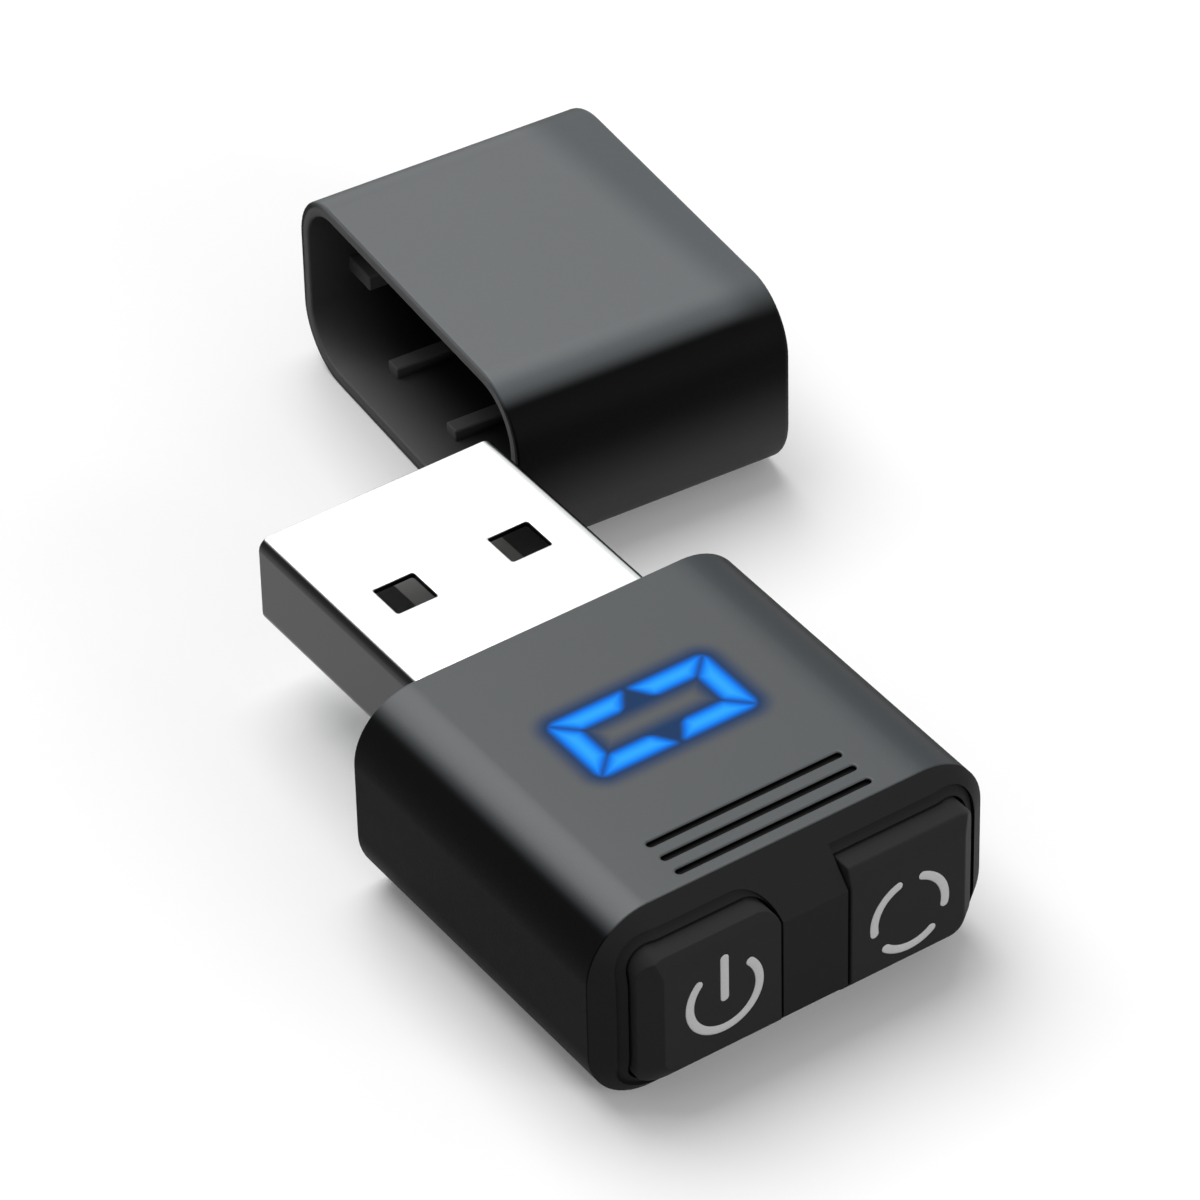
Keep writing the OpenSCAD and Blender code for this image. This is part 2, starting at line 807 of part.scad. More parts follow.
module display_diffuser() {
    color([0.75, 0.85, 1])
        box_between([-reflector_l / 2, digit_y - reflector_w / 2, reflector_top],
            [reflector_l / 2, digit_y + reflector_w / 2, diffuser_top]);
}

// ---- Cap ----

module cap_shell() {
    inner_l = cap_l - cap_end;
    color(housing_colour)
        translate([cap_x, cap_y, 0])
            rotate([0, 0, cap_turn - 90]) {
                difference() {
                    union() {
                        bar_y(housing_w, housing_h, edge_r, 0, cap_l - cap_bevel, mid_z);
                        translate([0, cap_l - cap_bevel, mid_z])
                            rotate([0, 0, 180])
                                bevel_block(housing_w, housing_h, edge_r, cap_bevel, cap_bevel);
                    }
                    bar_y(housing_w - 2 * cap_wall, housing_h - 2 * cap_wall, edge_r - cap_wall,
                        -eps, inner_l, mid_z);
                }
                // Floor ribs, and a guide on each side wall
                intersection() {
                    bar_y(housing_w - cap_wall, housing_h - cap_wall, edge_r - cap_wall / 2,
                        rib_back, inner_l + cap_end / 2, mid_z);
                    union() {
                        for (i = [-1 : 1])
                            box_between([i * rib_pitch - rib_w / 2, 0, 0],
                                [i * rib_pitch + rib_w / 2, cap_l, cap_wall + rib_h]);
                        for (sx = [-1, 1])
                            translate([sx * (guide_x + housing_w / 2) / 2, cap_l / 2, guide_z + guide_h / 2])
                                cube([housing_w / 2 - guide_x, cap_l, guide_h], center = true);
                    }
                }
            }
}

housing_sleeve();
end_bezel();
power_button();
mode_button();
usb_shell();
usb_insulator();
contact_power();
contact_data_minus();
contact_data_plus();
contact_ground();
circuit_board();
microcontroller();
crystal();
voltage_regulator();
capacitors();
segment_resistors();
display_leds();
display_reflector();
display_diffuser();
power_switch_case();
power_switch_cover();
power_switch_dome();
power_switch_plunger();
mode_switch_case();
mode_switch_cover();
mode_switch_dome();
mode_switch_plunger();
cap_shell();
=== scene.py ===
"""Looks of a plug-in mouse jiggler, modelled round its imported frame.

Each operator makes one visible piece, or one group of like pieces, and gives it its finish. Sizes that
the frame holds are read from it. The rest are settings, in metres, and the materials reckon in millimetres.
"""

import json
import math

import bmesh
import bpy
from bpy.props import FloatProperty, FloatVectorProperty, IntProperty, PointerProperty
from bpy.types import Operator, Panel, PropertyGroup
from mathutils import Matrix, Vector
from mathutils.geometry import tessellate_polygon


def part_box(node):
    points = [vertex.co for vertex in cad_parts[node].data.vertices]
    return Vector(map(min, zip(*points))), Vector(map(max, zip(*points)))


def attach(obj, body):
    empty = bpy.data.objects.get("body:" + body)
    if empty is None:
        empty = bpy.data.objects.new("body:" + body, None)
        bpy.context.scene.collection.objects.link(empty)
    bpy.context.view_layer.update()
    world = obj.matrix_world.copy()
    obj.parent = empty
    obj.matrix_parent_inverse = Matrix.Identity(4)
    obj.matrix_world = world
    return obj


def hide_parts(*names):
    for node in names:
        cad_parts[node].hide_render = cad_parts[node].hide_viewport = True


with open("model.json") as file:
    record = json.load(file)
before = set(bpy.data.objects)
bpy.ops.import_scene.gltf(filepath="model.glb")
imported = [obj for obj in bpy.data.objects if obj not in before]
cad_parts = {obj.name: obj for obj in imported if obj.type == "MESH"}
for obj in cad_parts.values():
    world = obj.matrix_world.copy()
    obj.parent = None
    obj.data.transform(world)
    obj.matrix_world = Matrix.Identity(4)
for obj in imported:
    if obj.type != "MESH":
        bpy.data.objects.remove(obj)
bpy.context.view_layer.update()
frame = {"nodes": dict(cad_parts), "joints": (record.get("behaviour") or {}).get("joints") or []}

bl_info = {
    "name": "Mouse jiggler looks",
    "version": (1, 0, 0),
    "blender": (4, 5, 0),
    "location": "3D View > Sidebar > Jiggler",
    "description": "Models and finishes the pieces of a plug-in mouse jiggler",
    "category": "Add Mesh",
}

MM = 0.001
NODES = frame["nodes"]
QUARTER_TURN = math.pi / 2
CORNER_STEPS = 14

# Sides of an outline, as the index of the point that each starts from. A notch splits the lower side.
TOP = CORNER_STEPS
BOTTOM = 3 * CORNER_STEPS + 2
BOTTOM_PAST_NOTCH = BOTTOM + 4


# ---- Settings ----

class HousingSettings(PropertyGroup):
    edge_radius: FloatProperty(
        name="Edge radius", description="Outer radius of the four long edges",
        default=3 * MM, unit="LENGTH")
    wall: FloatProperty(
        name="Wall", description="Wall of the sleeve", default=0.9 * MM, unit="LENGTH")
    front_wall: FloatProperty(
        name="Front wall", description="Wall that the plug passes through",
        default=1.2 * MM, unit="LENGTH")
    lip: FloatProperty(
        name="Lip", description="Rounding of the end edges", default=0.12 * MM, unit="LENGTH")
    groove_count: IntProperty(
        name="Grooves", description="Number of finger grooves", default=3, min=1, max=4)
    groove_length: FloatProperty(
        name="Groove length", description="Length of a groove across", default=9.6 * MM, unit="LENGTH")
    groove_width: FloatProperty(
        name="Groove width", description="Width of a groove", default=0.36 * MM, unit="LENGTH")
    groove_depth: FloatProperty(
        name="Groove depth", description="Depth of a groove", default=0.3 * MM, unit="LENGTH")
    groove_pitch: FloatProperty(
        name="Groove pitch", description="Distance between two grooves", default=1 * MM, unit="LENGTH")
    groove_rear: FloatProperty(
        name="Groove to rear", description="Rear edge to the last groove",
        default=0.85 * MM, unit="LENGTH")
    # The roof's colour is partly a painted sheen, and the colours of the sides and edges are painted shade
    colour: FloatVectorProperty(
        name="Roof", description="Colour of the sleeve on its roof", default=(0.044, 0.05, 0.054),
        subtype="COLOR", min=0, max=1)
    painted_side_shade: FloatVectorProperty(
        name="Sides", description="Colour of the sleeve on its sides", default=(0.007, 0.007, 0.007),
        subtype="COLOR", min=0, max=1)
    painted_edge_shade: FloatVectorProperty(
        name="Edges", description="Colour of the sleeve below its upper edges",
        default=(0.003, 0.003, 0.003),
        subtype="COLOR", min=0, max=1)
    # Painted shade deep in the grooves
    painted_groove_shade: FloatVectorProperty(
        name="Grooves", description="Colour deep in the grooves", default=(0.03, 0.03, 0.03),
        subtype="COLOR", min=0, max=1)
    sheen: FloatProperty(
        name="Sheen", description="Strength of the satin sheen on the roof", default=0.75, min=0, max=1,
        subtype="FACTOR")
    grain: FloatProperty(
        name="Grain", description="Size of the moulded grain", default=0.07 * MM, unit="LENGTH")
    roughness: FloatProperty(
        name="Roughness", description="How matt the plastic is",
        default=0.5, min=0, max=1, subtype="FACTOR")


class EndSettings(PropertyGroup):
    rounding: FloatProperty(
        name="Rounding", description="Rounding of the moulded edges", default=0.09 * MM, unit="LENGTH")
    colour: FloatVectorProperty(
        name="Plastic", description="Colour of the end block", default=(0.018, 0.018, 0.018),
        subtype="COLOR", min=0, max=1)
    button_colour: FloatVectorProperty(
        name="Buttons", description="Colour of the buttons", default=(0.026, 0.026, 0.026),
        subtype="COLOR", min=0, max=1)
    roughness: FloatProperty(
        name="Roughness", description="How matt the plastic is",
        default=0.62, min=0, max=1, subtype="FACTOR")


class SignSettings(PropertyGroup):
    colour: FloatVectorProperty(
        name="Ink", description="Colour of the printed signs", default=(0.68, 0.68, 0.68),
        subtype="COLOR", min=0, max=1)
    stroke: FloatProperty(
        name="Stroke", description="Width of a printed stroke", default=0.42 * MM, unit="LENGTH")
    height: FloatProperty(
        name="Ink height", description="How far the ink stands out", default=0.02 * MM, unit="LENGTH")
    power_at: FloatVectorProperty(
        name="Power sign", description="Centre of the power sign's ring, to the side and up",
        default=(-4.53 * MM, 5.12 * MM), size=2, unit="LENGTH")
    power_radius: FloatProperty(
        name="Ring radius", description="Radius of the power sign's ring",
        default=1.71 * MM, unit="LENGTH")
    power_opening: FloatProperty(
        name="Ring opening", description="Open angle at the top of the ring", default=math.radians(82),
        subtype="ANGLE")
    bar_top: FloatProperty(
        name="Bar top", description="Height of the bar's upper end", default=7.28 * MM, unit="LENGTH")
    bar_bottom: FloatProperty(
        name="Bar bottom", description="Height of the bar's lower end",
        default=4.81 * MM, unit="LENGTH")
    mode_at: FloatVectorProperty(
        name="Mode sign", description="Centre of the mode sign's ring, to the side and up",
        default=(4.65 * MM, 4.68 * MM), size=2, unit="LENGTH")
    mode_radius: FloatProperty(
        name="Mode radius", description="Radius of the mode sign's dashes",
        default=1.78 * MM, unit="LENGTH")
    mode_dashes: IntProperty(
        name="Dashes", description="Number of dashes in the mode sign", default=3, min=2, max=6)
    mode_sweep: FloatProperty(
        name="Dash", description="Angle of one dash", default=math.radians(93), subtype="ANGLE")
    mode_turn: FloatProperty(
        name="First dash", description="Direction of the first dash", default=math.radians(28.5),
        subtype="ANGLE")


class PlugSettings(PropertyGroup):
    height: FloatProperty(
        name="Height", description="Height of the metal plug", default=4.5 * MM, unit="LENGTH")
    sheet: FloatProperty(
        name="Sheet", description="Thickness of the sheet metal", default=0.3 * MM, unit="LENGTH")
    corner: FloatProperty(
        name="Corner", description="Outer corner radius", default=0.6 * MM, unit="LENGTH")
    lip: FloatProperty(
        name="Lip", description="Rounding of the front edge", default=0.1 * MM, unit="LENGTH")
    hole_width: FloatProperty(
        name="Hole width", description="Width of a square hole", default=2.05 * MM, unit="LENGTH")
    hole_length: FloatProperty(
        name="Hole length", description="Length of a square hole", default=1.95 * MM, unit="LENGTH")
    hole_pitch: FloatProperty(
        name="Hole pitch", description="Distance between the two holes",
        default=5.8 * MM, unit="LENGTH")
    hole_from_tip: FloatProperty(
        name="Hole to tip", description="Tip to the centre of the holes",
        default=6.6 * MM, unit="LENGTH")
    seam: FloatProperty(
        name="Seam", description="Width of the joint along the underside",
        default=0.12 * MM, unit="LENGTH")
    seam_depth: FloatProperty(
        name="Seam depth", description="Depth of that joint", default=0.1 * MM, unit="LENGTH")
    colour: FloatVectorProperty(
        name="Metal", description="Colour of the plating on the broad faces",
        default=(0.74, 0.762, 0.758),
        subtype="COLOR", min=0, max=1)
    # The colours of the narrow sides and of the bends are painted shade
    painted_side_shade: FloatVectorProperty(
        name="Sides", description="Colour of the plating on the narrow sides",
        default=(0.038, 0.039, 0.0385),
        subtype="COLOR", min=0, max=1)
    painted_edge_shade: FloatVectorProperty(
        name="Edges", description="Colour of the plating along the bends",
        default=(0.015, 0.015, 0.015),
        subtype="COLOR", min=0, max=1)


class DisplaySettings(PropertyGroup):
    length: FloatProperty(
        name="Length", description="Height of the digit, which runs across",
        default=7.9 * MM, unit="LENGTH")
    width: FloatProperty(
        name="Width", description="Width of the digit", default=4 * MM, unit="LENGTH")
    segment: FloatProperty(
        name="Segment", description="Width of a segment", default=1.04 * MM, unit="LENGTH")
    gap: FloatProperty(
        name="Gap", description="Dark gap at the corners", default=0.1 * MM, unit="LENGTH")
    middle_gap: FloatProperty(
        name="Middle gap", description="Dark gap halfway along", default=0.14 * MM, unit="LENGTH")
    middle_slope: FloatProperty(
        name="Middle slope", description="Slant of the segments' ends halfway along", default=0.66)
    tip: FloatProperty(
        name="Tips", description="Rounding of the segments' tips", default=0.2 * MM, unit="LENGTH")
    soft: FloatProperty(
        name="Softness", description="Width of the soft edge of the light",
        default=0.2 * MM, unit="LENGTH")
    core: FloatVectorProperty(
        name="Core", description="Light in the middle of a segment", default=(0.028, 0.4, 1),
        subtype="COLOR", min=0, max=1)
    rim: FloatVectorProperty(
        name="Rim", description="Light at the edge of a segment", default=(0.001, 0.2, 0.96),
        subtype="COLOR", min=0, max=1)
    halo: FloatVectorProperty(
        name="Halo", description="Light that spreads round the segments", default=(0.015, 0.046, 0.13),
        subtype="COLOR", min=0, max=1)
    halo_reach: FloatProperty(
        name="Halo reach", description="How far that light spreads", default=1 * MM, unit="LENGTH")


class CapSettings(PropertyGroup):
    # The roof's colour is partly a painted sheen, brighter than the sleeve's. The sides and edges are
    # painted shade, the mouth painted light and the depth painted shade
    colour: FloatVectorProperty(
        name="Roof", description="Colour of the cap on its roof", default=(0.095, 0.103, 0.108),
        subtype="COLOR", min=0, max=1)
    painted_side_shade: FloatVectorProperty(
        name="Sides", description="Colour of the cap on its sides, near the floor",
        default=(0.09, 0.09, 0.09),
        subtype="COLOR", min=0, max=1)
    painted_edge_shade: FloatVectorProperty(
        name="Edges", description="Colour of the cap below its upper edges",
        default=(0.003, 0.003, 0.003),
        subtype="COLOR", min=0, max=1)
    painted_mouth_light: FloatVectorProperty(
        name="Mouth", description="Colour of the cap's inside near its mouth",
        default=(0.15, 0.15, 0.15),
        subtype="COLOR", min=0, max=1)
    painted_depth_shade: FloatVectorProperty(
        name="Depth", description="Colour of the cap's inside near its closed end",
        default=(0.012, 0.012, 0.012),
        subtype="COLOR", min=0, max=1)
    wall: FloatProperty(
        name="Wall", description="Wall of the cap", default=0.7 * MM, unit="LENGTH")
    end: FloatProperty(
        name="End", description="Thickness of the closed end", default=0.75 * MM, unit="LENGTH")
    end_radius: FloatProperty(
        name="End radius", description="Rounding of the closed end", default=0.35 * MM, unit="LENGTH")
    lip: FloatProperty(
        name="Lip", description="Rounding of the mouth's edges", default=0.1 * MM, unit="LENGTH")
    rib_width: FloatProperty(
        name="Rib width", description="Width of a floor rib", default=0.85 * MM, unit="LENGTH")
    rib_height: FloatProperty(
        name="Rib height", description="Height of a floor rib", default=0.6 * MM, unit="LENGTH")
    rib_pitch: FloatProperty(
        name="Rib pitch", description="Distance between floor ribs", default=5.3 * MM, unit="LENGTH")
    rib_back: FloatProperty(
        name="Rib setback", description="Mouth to the ribs' front ends", default=2 * MM, unit="LENGTH")
    guide_place: FloatProperty(
        name="Guide place", description="Middle of the cap to a side guide", default=7.15 * MM,
        unit="LENGTH")
    guide_bottom: FloatProperty(
        name="Guide bottom", description="Height of a side guide's lower edge", default=4.2 * MM,
        unit="LENGTH")
    guide_height: FloatProperty(
        name="Guide height", description="Thickness of a side guide", default=0.8 * MM, unit="LENGTH")


class StageSettings(PropertyGroup):
    camera_at: FloatVectorProperty(
        name="Camera", description="Place of the camera", default=(-0.13068, -0.18908, 0.20609),
        subtype="TRANSLATION")
    azimuth: FloatProperty(
        name="Azimuth", description="Direction that the camera looks from",
        default=math.radians(-34.026),
        subtype="ANGLE")
    elevation: FloatProperty(
        name="Elevation", description="Height of the camera as an angle", default=math.radians(39.532),
        subtype="ANGLE")
    roll: FloatProperty(
        name="Roll", description="Turn of the picture", default=math.radians(-1.354), subtype="ANGLE")
    lens: FloatProperty(
        name="Lens", description="Focal length in millimetres", default=223.45, unit="CAMERA")
    floor: FloatVectorProperty(
        name="Floor", description="Colour of the floor", default=(0.9, 0.9, 0.9),
        subtype="COLOR", min=0, max=1)
    floor_glow: FloatVectorProperty(
        name="Floor glow", description="Light of the floor's own, which softens the shadows seen on it",
        default=(0.1, 0.1, 0.1), subtype="COLOR", min=0, max=1)
    softbox: FloatProperty(
        name="Softbox", description="Power of the large lamp overhead, in watts", default=3.0)
    fill: FloatProperty(
        name="Fill", description="Power of the low lamp behind the buttons, in watts", default=1.2)
    world: FloatProperty(
        name="Surroundings", description="Strength of the light from all round", default=0.33)


# ---- Node trees ----

class Value:
    """A number on a socket. Sums of it add the Math nodes that work them out."""

    def __init__(self, graph, socket):
        self.graph = graph
        self.socket = socket

    def math(self, operation, *operands):
        return self.graph.get("ShaderNodeMath", {"operation": operation}, dict(enumerate(operands)))

    def __add__(self, other):
        return self.math("ADD", self, other)

    def __radd__(self, other):
        return self.math("ADD", other, self)

    def __sub__(self, other):
        return self.math("SUBTRACT", self, other)

    def __rsub__(self, other):
        return self.math("SUBTRACT", other, self)

    def __mul__(self, other):
        return self.math("MULTIPLY", self, other)

    def __rmul__(self, other):
        return self.math("MULTIPLY", other, self)

    def __truediv__(self, other):
        return self.math("DIVIDE", self, other)

    def __rtruediv__(self, other):
        return self.math("DIVIDE", other, self)

    def __neg__(self):
        return self.math("MULTIPLY", self, -1)

    def __abs__(self):
        return self.math("ABSOLUTE", self)

    def mitre(self, slope, gap):
        """Distance past a slanted cut, from how far a point is past it along one axis."""
        return (self + gap) * (1 / math.hypot(1, slope))

    def root(self):
        return self.math("SQRT", self)

    def least(self, other):
        return self.math("MINIMUM", self, other)

    def most(self, other):
        return self.math("MAXIMUM", self, other)

    def meets(self, other, radius):
        """Where both are below zero, with a rounded corner between the two borders."""
        near, far = (self + radius).most(0), (other + radius).most(0)
        return self.most(other).least(-radius) + (near * near + far * far).root()

    def ramp(self, start, end):
        """Smooth step from 0 at start to 1 at end, which may lie below start."""
        low, high, first, last = (start, end, 0, 1) if start < end else (end, start, 1, 0)
        return self.graph.get("ShaderNodeMapRange", {"interpolation_type": "SMOOTHSTEP", "clamp": True},
            {"Value": self, "From Min": low, "From Max": high, "To Min": first, "To Max": last})


class Graph:
    """Adds nodes to a tree."""

    def __init__(self, tree):
        self.tree = tree

    def node(self, kind, settings=None, inputs=None):
        node = self.tree.nodes.new(kind)
        for key, setting in (settings or {}).items():
            setattr(node, key, setting)
        for key, value in (inputs or {}).items():
            self.feed(node.inputs[key], value)
        return node

    def get(self, kind, settings=None, inputs=None, output=0):
        return Value(self, self.node(kind, settings, inputs).outputs[output])

    def feed(self, socket, value):
        if isinstance(value, Value):
            self.tree.links.new(value.socket, socket)
        else:
            socket.default_value = value

    def mix(self, factor, first, second):
        """Blend of two colours."""
        node = self.node("ShaderNodeMix", {"data_type": "RGBA", "clamp_factor": True})
        for index, value in ((0, factor), (6, first), (7, second)):
            if not isinstance(value, Value) and index:
                value = (*value, 1)
            self.feed(node.inputs[index], value)
        return Value(self, node.outputs[2])

    def place(self):
        """Object coordinates, and the same as three numbers in millimetres."""
        here = self.get("ShaderNodeTexCoord", output="Object")
        scaled = self.get("ShaderNodeVectorMath", {"operation": "SCALE"}, {0: here, "Scale": 1 / MM})
        split = self.node("ShaderNodeSeparateXYZ", inputs={0: scaled})
        return scaled, [Value(self, socket) for socket in split.outputs]

    def noise(self, where, size, detail=2.0, roughness=0.5, stretch=(1, 1, 1)):
        """Noise from 0 to 1 whose grains are as large as size, in millimetres."""
        scale = tuple(part / size for part in stretch)
        spread = self.get("ShaderNodeVectorMath", {"operation": "MULTIPLY"}, {0: where, 1: scale})
        return self.get("ShaderNodeTexNoise", inputs={"Vector": spread, "Scale": 1.0, "Detail": detail,
            "Roughness": roughness}, output="Fac")

    def bump(self, height, distance, strength=1.0):
        return self.get("ShaderNodeBump", inputs={"Height": height, "Distance": distance,
            "Strength": strength}, output="Normal")


class Finish(Graph):
    """One material, with a Principled shader whose sockets take what is given by name."""

    def __init__(self, name):
        self.material = bpy.data.materials.new(name)
        self.material.use_nodes = True
        super().__init__(self.material.node_tree)
        self.tree.nodes.clear()

    def shader(self, **sockets):
        named = {key.replace("_", " ").title().replace("Ior", "IOR"): value
            for key, value in sockets.items()}
        for key, value in named.items():
            if "Color" in key and not isinstance(value, Value):
                named[key] = (*value, 1)
        bsdf = self.node("ShaderNodeBsdfPrincipled", inputs=named)
        self.node("ShaderNodeOutputMaterial", inputs={"Surface": Value(self, bsdf.outputs[0])})
        return self.material


# ---- Meshes ----

SAME_POINT = 1e-7

# Angles between two faces: shown crisp, given a rounded edge, and taken for one flat face
CRISP_FROM = math.radians(30)
ROUNDED_FROM = math.radians(25)
FLAT_BELOW = math.radians(0.5)


def outline(width, height, radius, notch=None):
    """Rounded rectangle as (across, up) pairs, anticlockwise from the upper right corner.

    A notch is the width and depth of a channel in the middle of the lower side."""
    points = []
    for quarter, (side, up) in enumerate(((1, 1), (-1, 1), (-1, -1), (1, -1))):
        middle = (side * (width / 2 - radius), up * (height / 2 - radius))
        for step in range(CORNER_STEPS + 1):
            angle = (quarter + step / CORNER_STEPS) * QUARTER_TURN
            points.append((middle[0] + radius * math.cos(angle), middle[1] + radius * math.sin(angle)))
        if quarter == 2 and notch:
            half, depth = notch[0] / 2, notch[1]
            low = -height / 2
            points += [(-half, low), (-half, low + depth), (half, low + depth), (half, low)]
    return points


def stadium(length, width, steps=8):
    """Outline with two round ends as (across, along) pairs."""
    points = []
    for side, start in ((1, -1), (-1, 1)):
        for step in range(steps + 1):
            angle = start * QUARTER_TURN + step / steps * math.pi
            points.append((side * (length - width) / 2 + width / 2 * math.cos(angle),
                width / 2 * math.sin(angle)))
    return points


def rounding(radius, steps=4):
    """Inset and advance along a rounded edge, from the wall to the end face."""
    turns = [step / steps * QUARTER_TURN for step in range(steps + 1)]
    return [(radius * (1 - math.cos(turn)), radius * math.sin(turn)) for turn in turns]


class Skin:
    """A closed mesh made of rings of points."""

    def __init__(self):
        self.mesh = bmesh.new()

    def ring(self, points):
        return [self.mesh.verts.new(point) for point in points]

    def section(self, width, height, radius, along, centre=0.0, notch=None):
        """Ring with a rounded outline that stands across the Y axis."""
        return self.ring([(x, along, centre + z) for x, z in outline(width, height, radius, notch)])

    def band(self, first, second, leave=()):
        """Faces between two rings, but for the sides that start from the points in leave."""
        count = len(first)
        for i in range(count):
            if i not in leave:
                j = (i + 1) % count
                self.mesh.faces.new((first[i], first[j], second[j], second[i]))

    def tube(self, rings, leave=None, closed=False):
        """Faces along a row of rings. leave names the sides left open after one of them."""
        for i in range(len(rings) - (0 if closed else 1)):
            self.band(rings[i], rings[(i + 1) % len(rings)], (leave or {}).get(i, ()))

    def fill(self, rim, holes=()):
        """Flat face inside a rim, round some holes."""
        rings = [rim, *holes]
        points = [vertex for ring in rings for vertex in ring]
        corners = tessellate_polygon([[vertex.co / MM for vertex in ring] for ring in rings])
        faces = [self.mesh.faces.new([points[i] for i in corner]) for corner in corners]
        inner = [edge for edge in dict.fromkeys(edge for face in faces for edge in face.edges)
            if len(edge.link_faces) == 2 and all(face in faces for face in edge.link_faces)]
        bmesh.ops.beautify_fill(self.mesh, faces=faces, edges=inner)

    def to_mesh(self, name):
        bmesh.ops.remove_doubles(self.mesh, verts=self.mesh.verts, dist=SAME_POINT)
        bmesh.ops.dissolve_degenerate(self.mesh, edges=self.mesh.edges, dist=SAME_POINT)
        bmesh.ops.recalc_face_normals(self.mesh, faces=self.mesh.faces)
        mesh = bpy.data.meshes.new(name)
        self.mesh.to_mesh(mesh)
        self.mesh.free()
        return mesh


def new_object(name, mesh):
    piece = bpy.data.objects.new(name, mesh)
    bpy.context.scene.collection.objects.link(piece)
    return piece


def settle(piece):
    """Turns what a piece's modifiers make into its own plain mesh."""
    graph = bpy.context.evaluated_depsgraph_get()
    graph.update()
    mesh = bpy.data.meshes.new_from_object(piece.evaluated_get(graph))
    old = piece.data
    piece.modifiers.clear()
    piece.data = mesh
    mesh.name = piece.name
    bpy.data.meshes.remove(old)


def smooth(piece):
    """Smooth shading with crisp edges, and flat faces that stay flat beside round ones."""
    piece.data.shade_smooth()
    piece.data.set_sharp_from_angle(angle=CRISP_FROM)
    weighted = piece.modifiers.new("flat faces lead", "WEIGHTED_NORMAL")
    weighted.keep_sharp = True
    settle(piece)


def finish_piece(piece, body, material, slot, *stands_for):
    piece.data.materials.clear()
    piece.data.materials.append(material)
    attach(piece, body)
    if stands_for:
        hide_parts(*stands_for)


def softened(node, name, radius, steps=3):
    """Copy of a frame node's mesh with its edges rounded."""
    mesh = bmesh.new()
    mesh.from_mesh(NODES[node].data)
    bmesh.ops.remove_doubles(mesh, verts=mesh.verts, dist=2 * SAME_POINT)
    bmesh.ops.dissolve_limit(mesh, angle_limit=FLAT_BELOW, verts=mesh.verts, edges=mesh.edges)
    data = bpy.data.meshes.new(name)
    mesh.to_mesh(data)
    mesh.free()
    piece = new_object(name, data)
    bevel = piece.modifiers.new("rounded edges", "BEVEL")
    bevel.width = radius
    bevel.segments = steps
    bevel.limit_method = "ANGLE"
    bevel.angle_limit = ROUNDED_FROM
    bevel.use_clamp_overlap = True
    bevel.miter_outer = "MITER_ARC"
    settle(piece)
    return piece


# ---- Finishes ----

BLACK = (0, 0, 0)

# How far below the roof the painted sheen and painted shade of the satin plastic change, and how far from
# its right edge, in mm
PAINTED_SHEEN_ENDS = (0.9, 0.3)
RIGHT_PAINTED_SHEEN_ENDS = (1.0, -0.1)
RIGHT_PAINTED_SHADE = (4, 2)
PAINTED_EDGE_SHADE_ENDS = (4.5, 1.4)
PAINTED_FLOOR_LIGHT_ON_SIDES = (3, 9)
SHEEN_FADES = 0.45

# How deep the painted shade in the grooves starts, turns from black to grey and ends, and its reach across,
# in mm
GROOVE_SHADE_STARTS = (0.05, 0.1)
GROOVE_SHADE_PALER = (0.14, 0.3)
GROOVE_SHADE_ENDS = (0.5, 0.4)
GROOVE_SHADE_REACH = (6, 5)

# Depth at which the painted shade inside the cap is darkest, in mm
PAINTED_SHADE_DEPTH = 6


def shade(colour, factor):
    """A colour made darker or lighter."""
    return tuple(min(1, part * factor) for part in colour)


def grained_plastic(finish, colour, grain, roughness, depth=0.25):
    """Sockets of a matt moulding with a fine grain, faint cloudiness and fine scuffs."""
    where, _ = finish.place()
    fine = finish.noise(where, grain / MM, detail=3)
    cloud = finish.noise(where, 6.0, detail=2)
    scuff = finish.noise(where, 0.9, detail=4, roughness=0.7)
    base = finish.mix(fine * 0.75 + cloud * 0.25, shade(colour, 0.9), shade(colour, 1.1))
    return {
        "base_color": base,
        "roughness": roughness + (fine - 0.5) * 0.1 + (scuff - 0.5) * 0.06,
        "normal": finish.bump(fine, depth * grain, 0.6),
    }


def satin_plastic_with_painted_light(name, grained, coloured, high, sheen_ends):
    """Finish and sockets of a satin moulding whose grey roof is partly a painted sheen, with painted shade
    where its edges turn down.

    grained holds its grain, roughness and sheen, and coloured its colours. high is the upper corner of its
    box, and sheen_ends is how far below the roof the sheen stops, both in millimetres. The painted shade
    reaches further onto the roof toward its right edge, and the sides are paler near the floor with painted
    light from it."""
    finish = Finish(name)
    sockets = grained_plastic(finish, coloured.colour, grained.grain, grained.roughness)
    _, (x, _, z) = finish.place()
    below = high.z - z
    right = x.ramp(high.x - RIGHT_PAINTED_SHADE[0], high.x - RIGHT_PAINTED_SHADE[1])
    # Painted sheen on the roof, which gives way sooner to painted shade toward the right edge
    roof = below.ramp(*PAINTED_SHEEN_ENDS) * (1 - right) + below.ramp(*RIGHT_PAINTED_SHEEN_ENDS) * right
    # Painted shade on the edges and sides, paler toward the floor with painted light from it
    sides = finish.mix(below.ramp(*PAINTED_FLOOR_LIGHT_ON_SIDES), coloured.painted_edge_shade, coloured.painted_side_shade)
    sides = finish.mix(below.ramp(*PAINTED_EDGE_SHADE_ENDS), sides, coloured.painted_edge_shade)
    sockets["base_color"] = finish.mix(roof, sides, sockets["base_color"])
    flat = below.ramp(sheen_ends, sheen_ends - SHEEN_FADES) * (1 - right * 0.75)
    sockets.update(coat_weight=flat * grained.sheen, coat_roughness=0.35, specular_ior_level=0.03)
    return finish, sockets


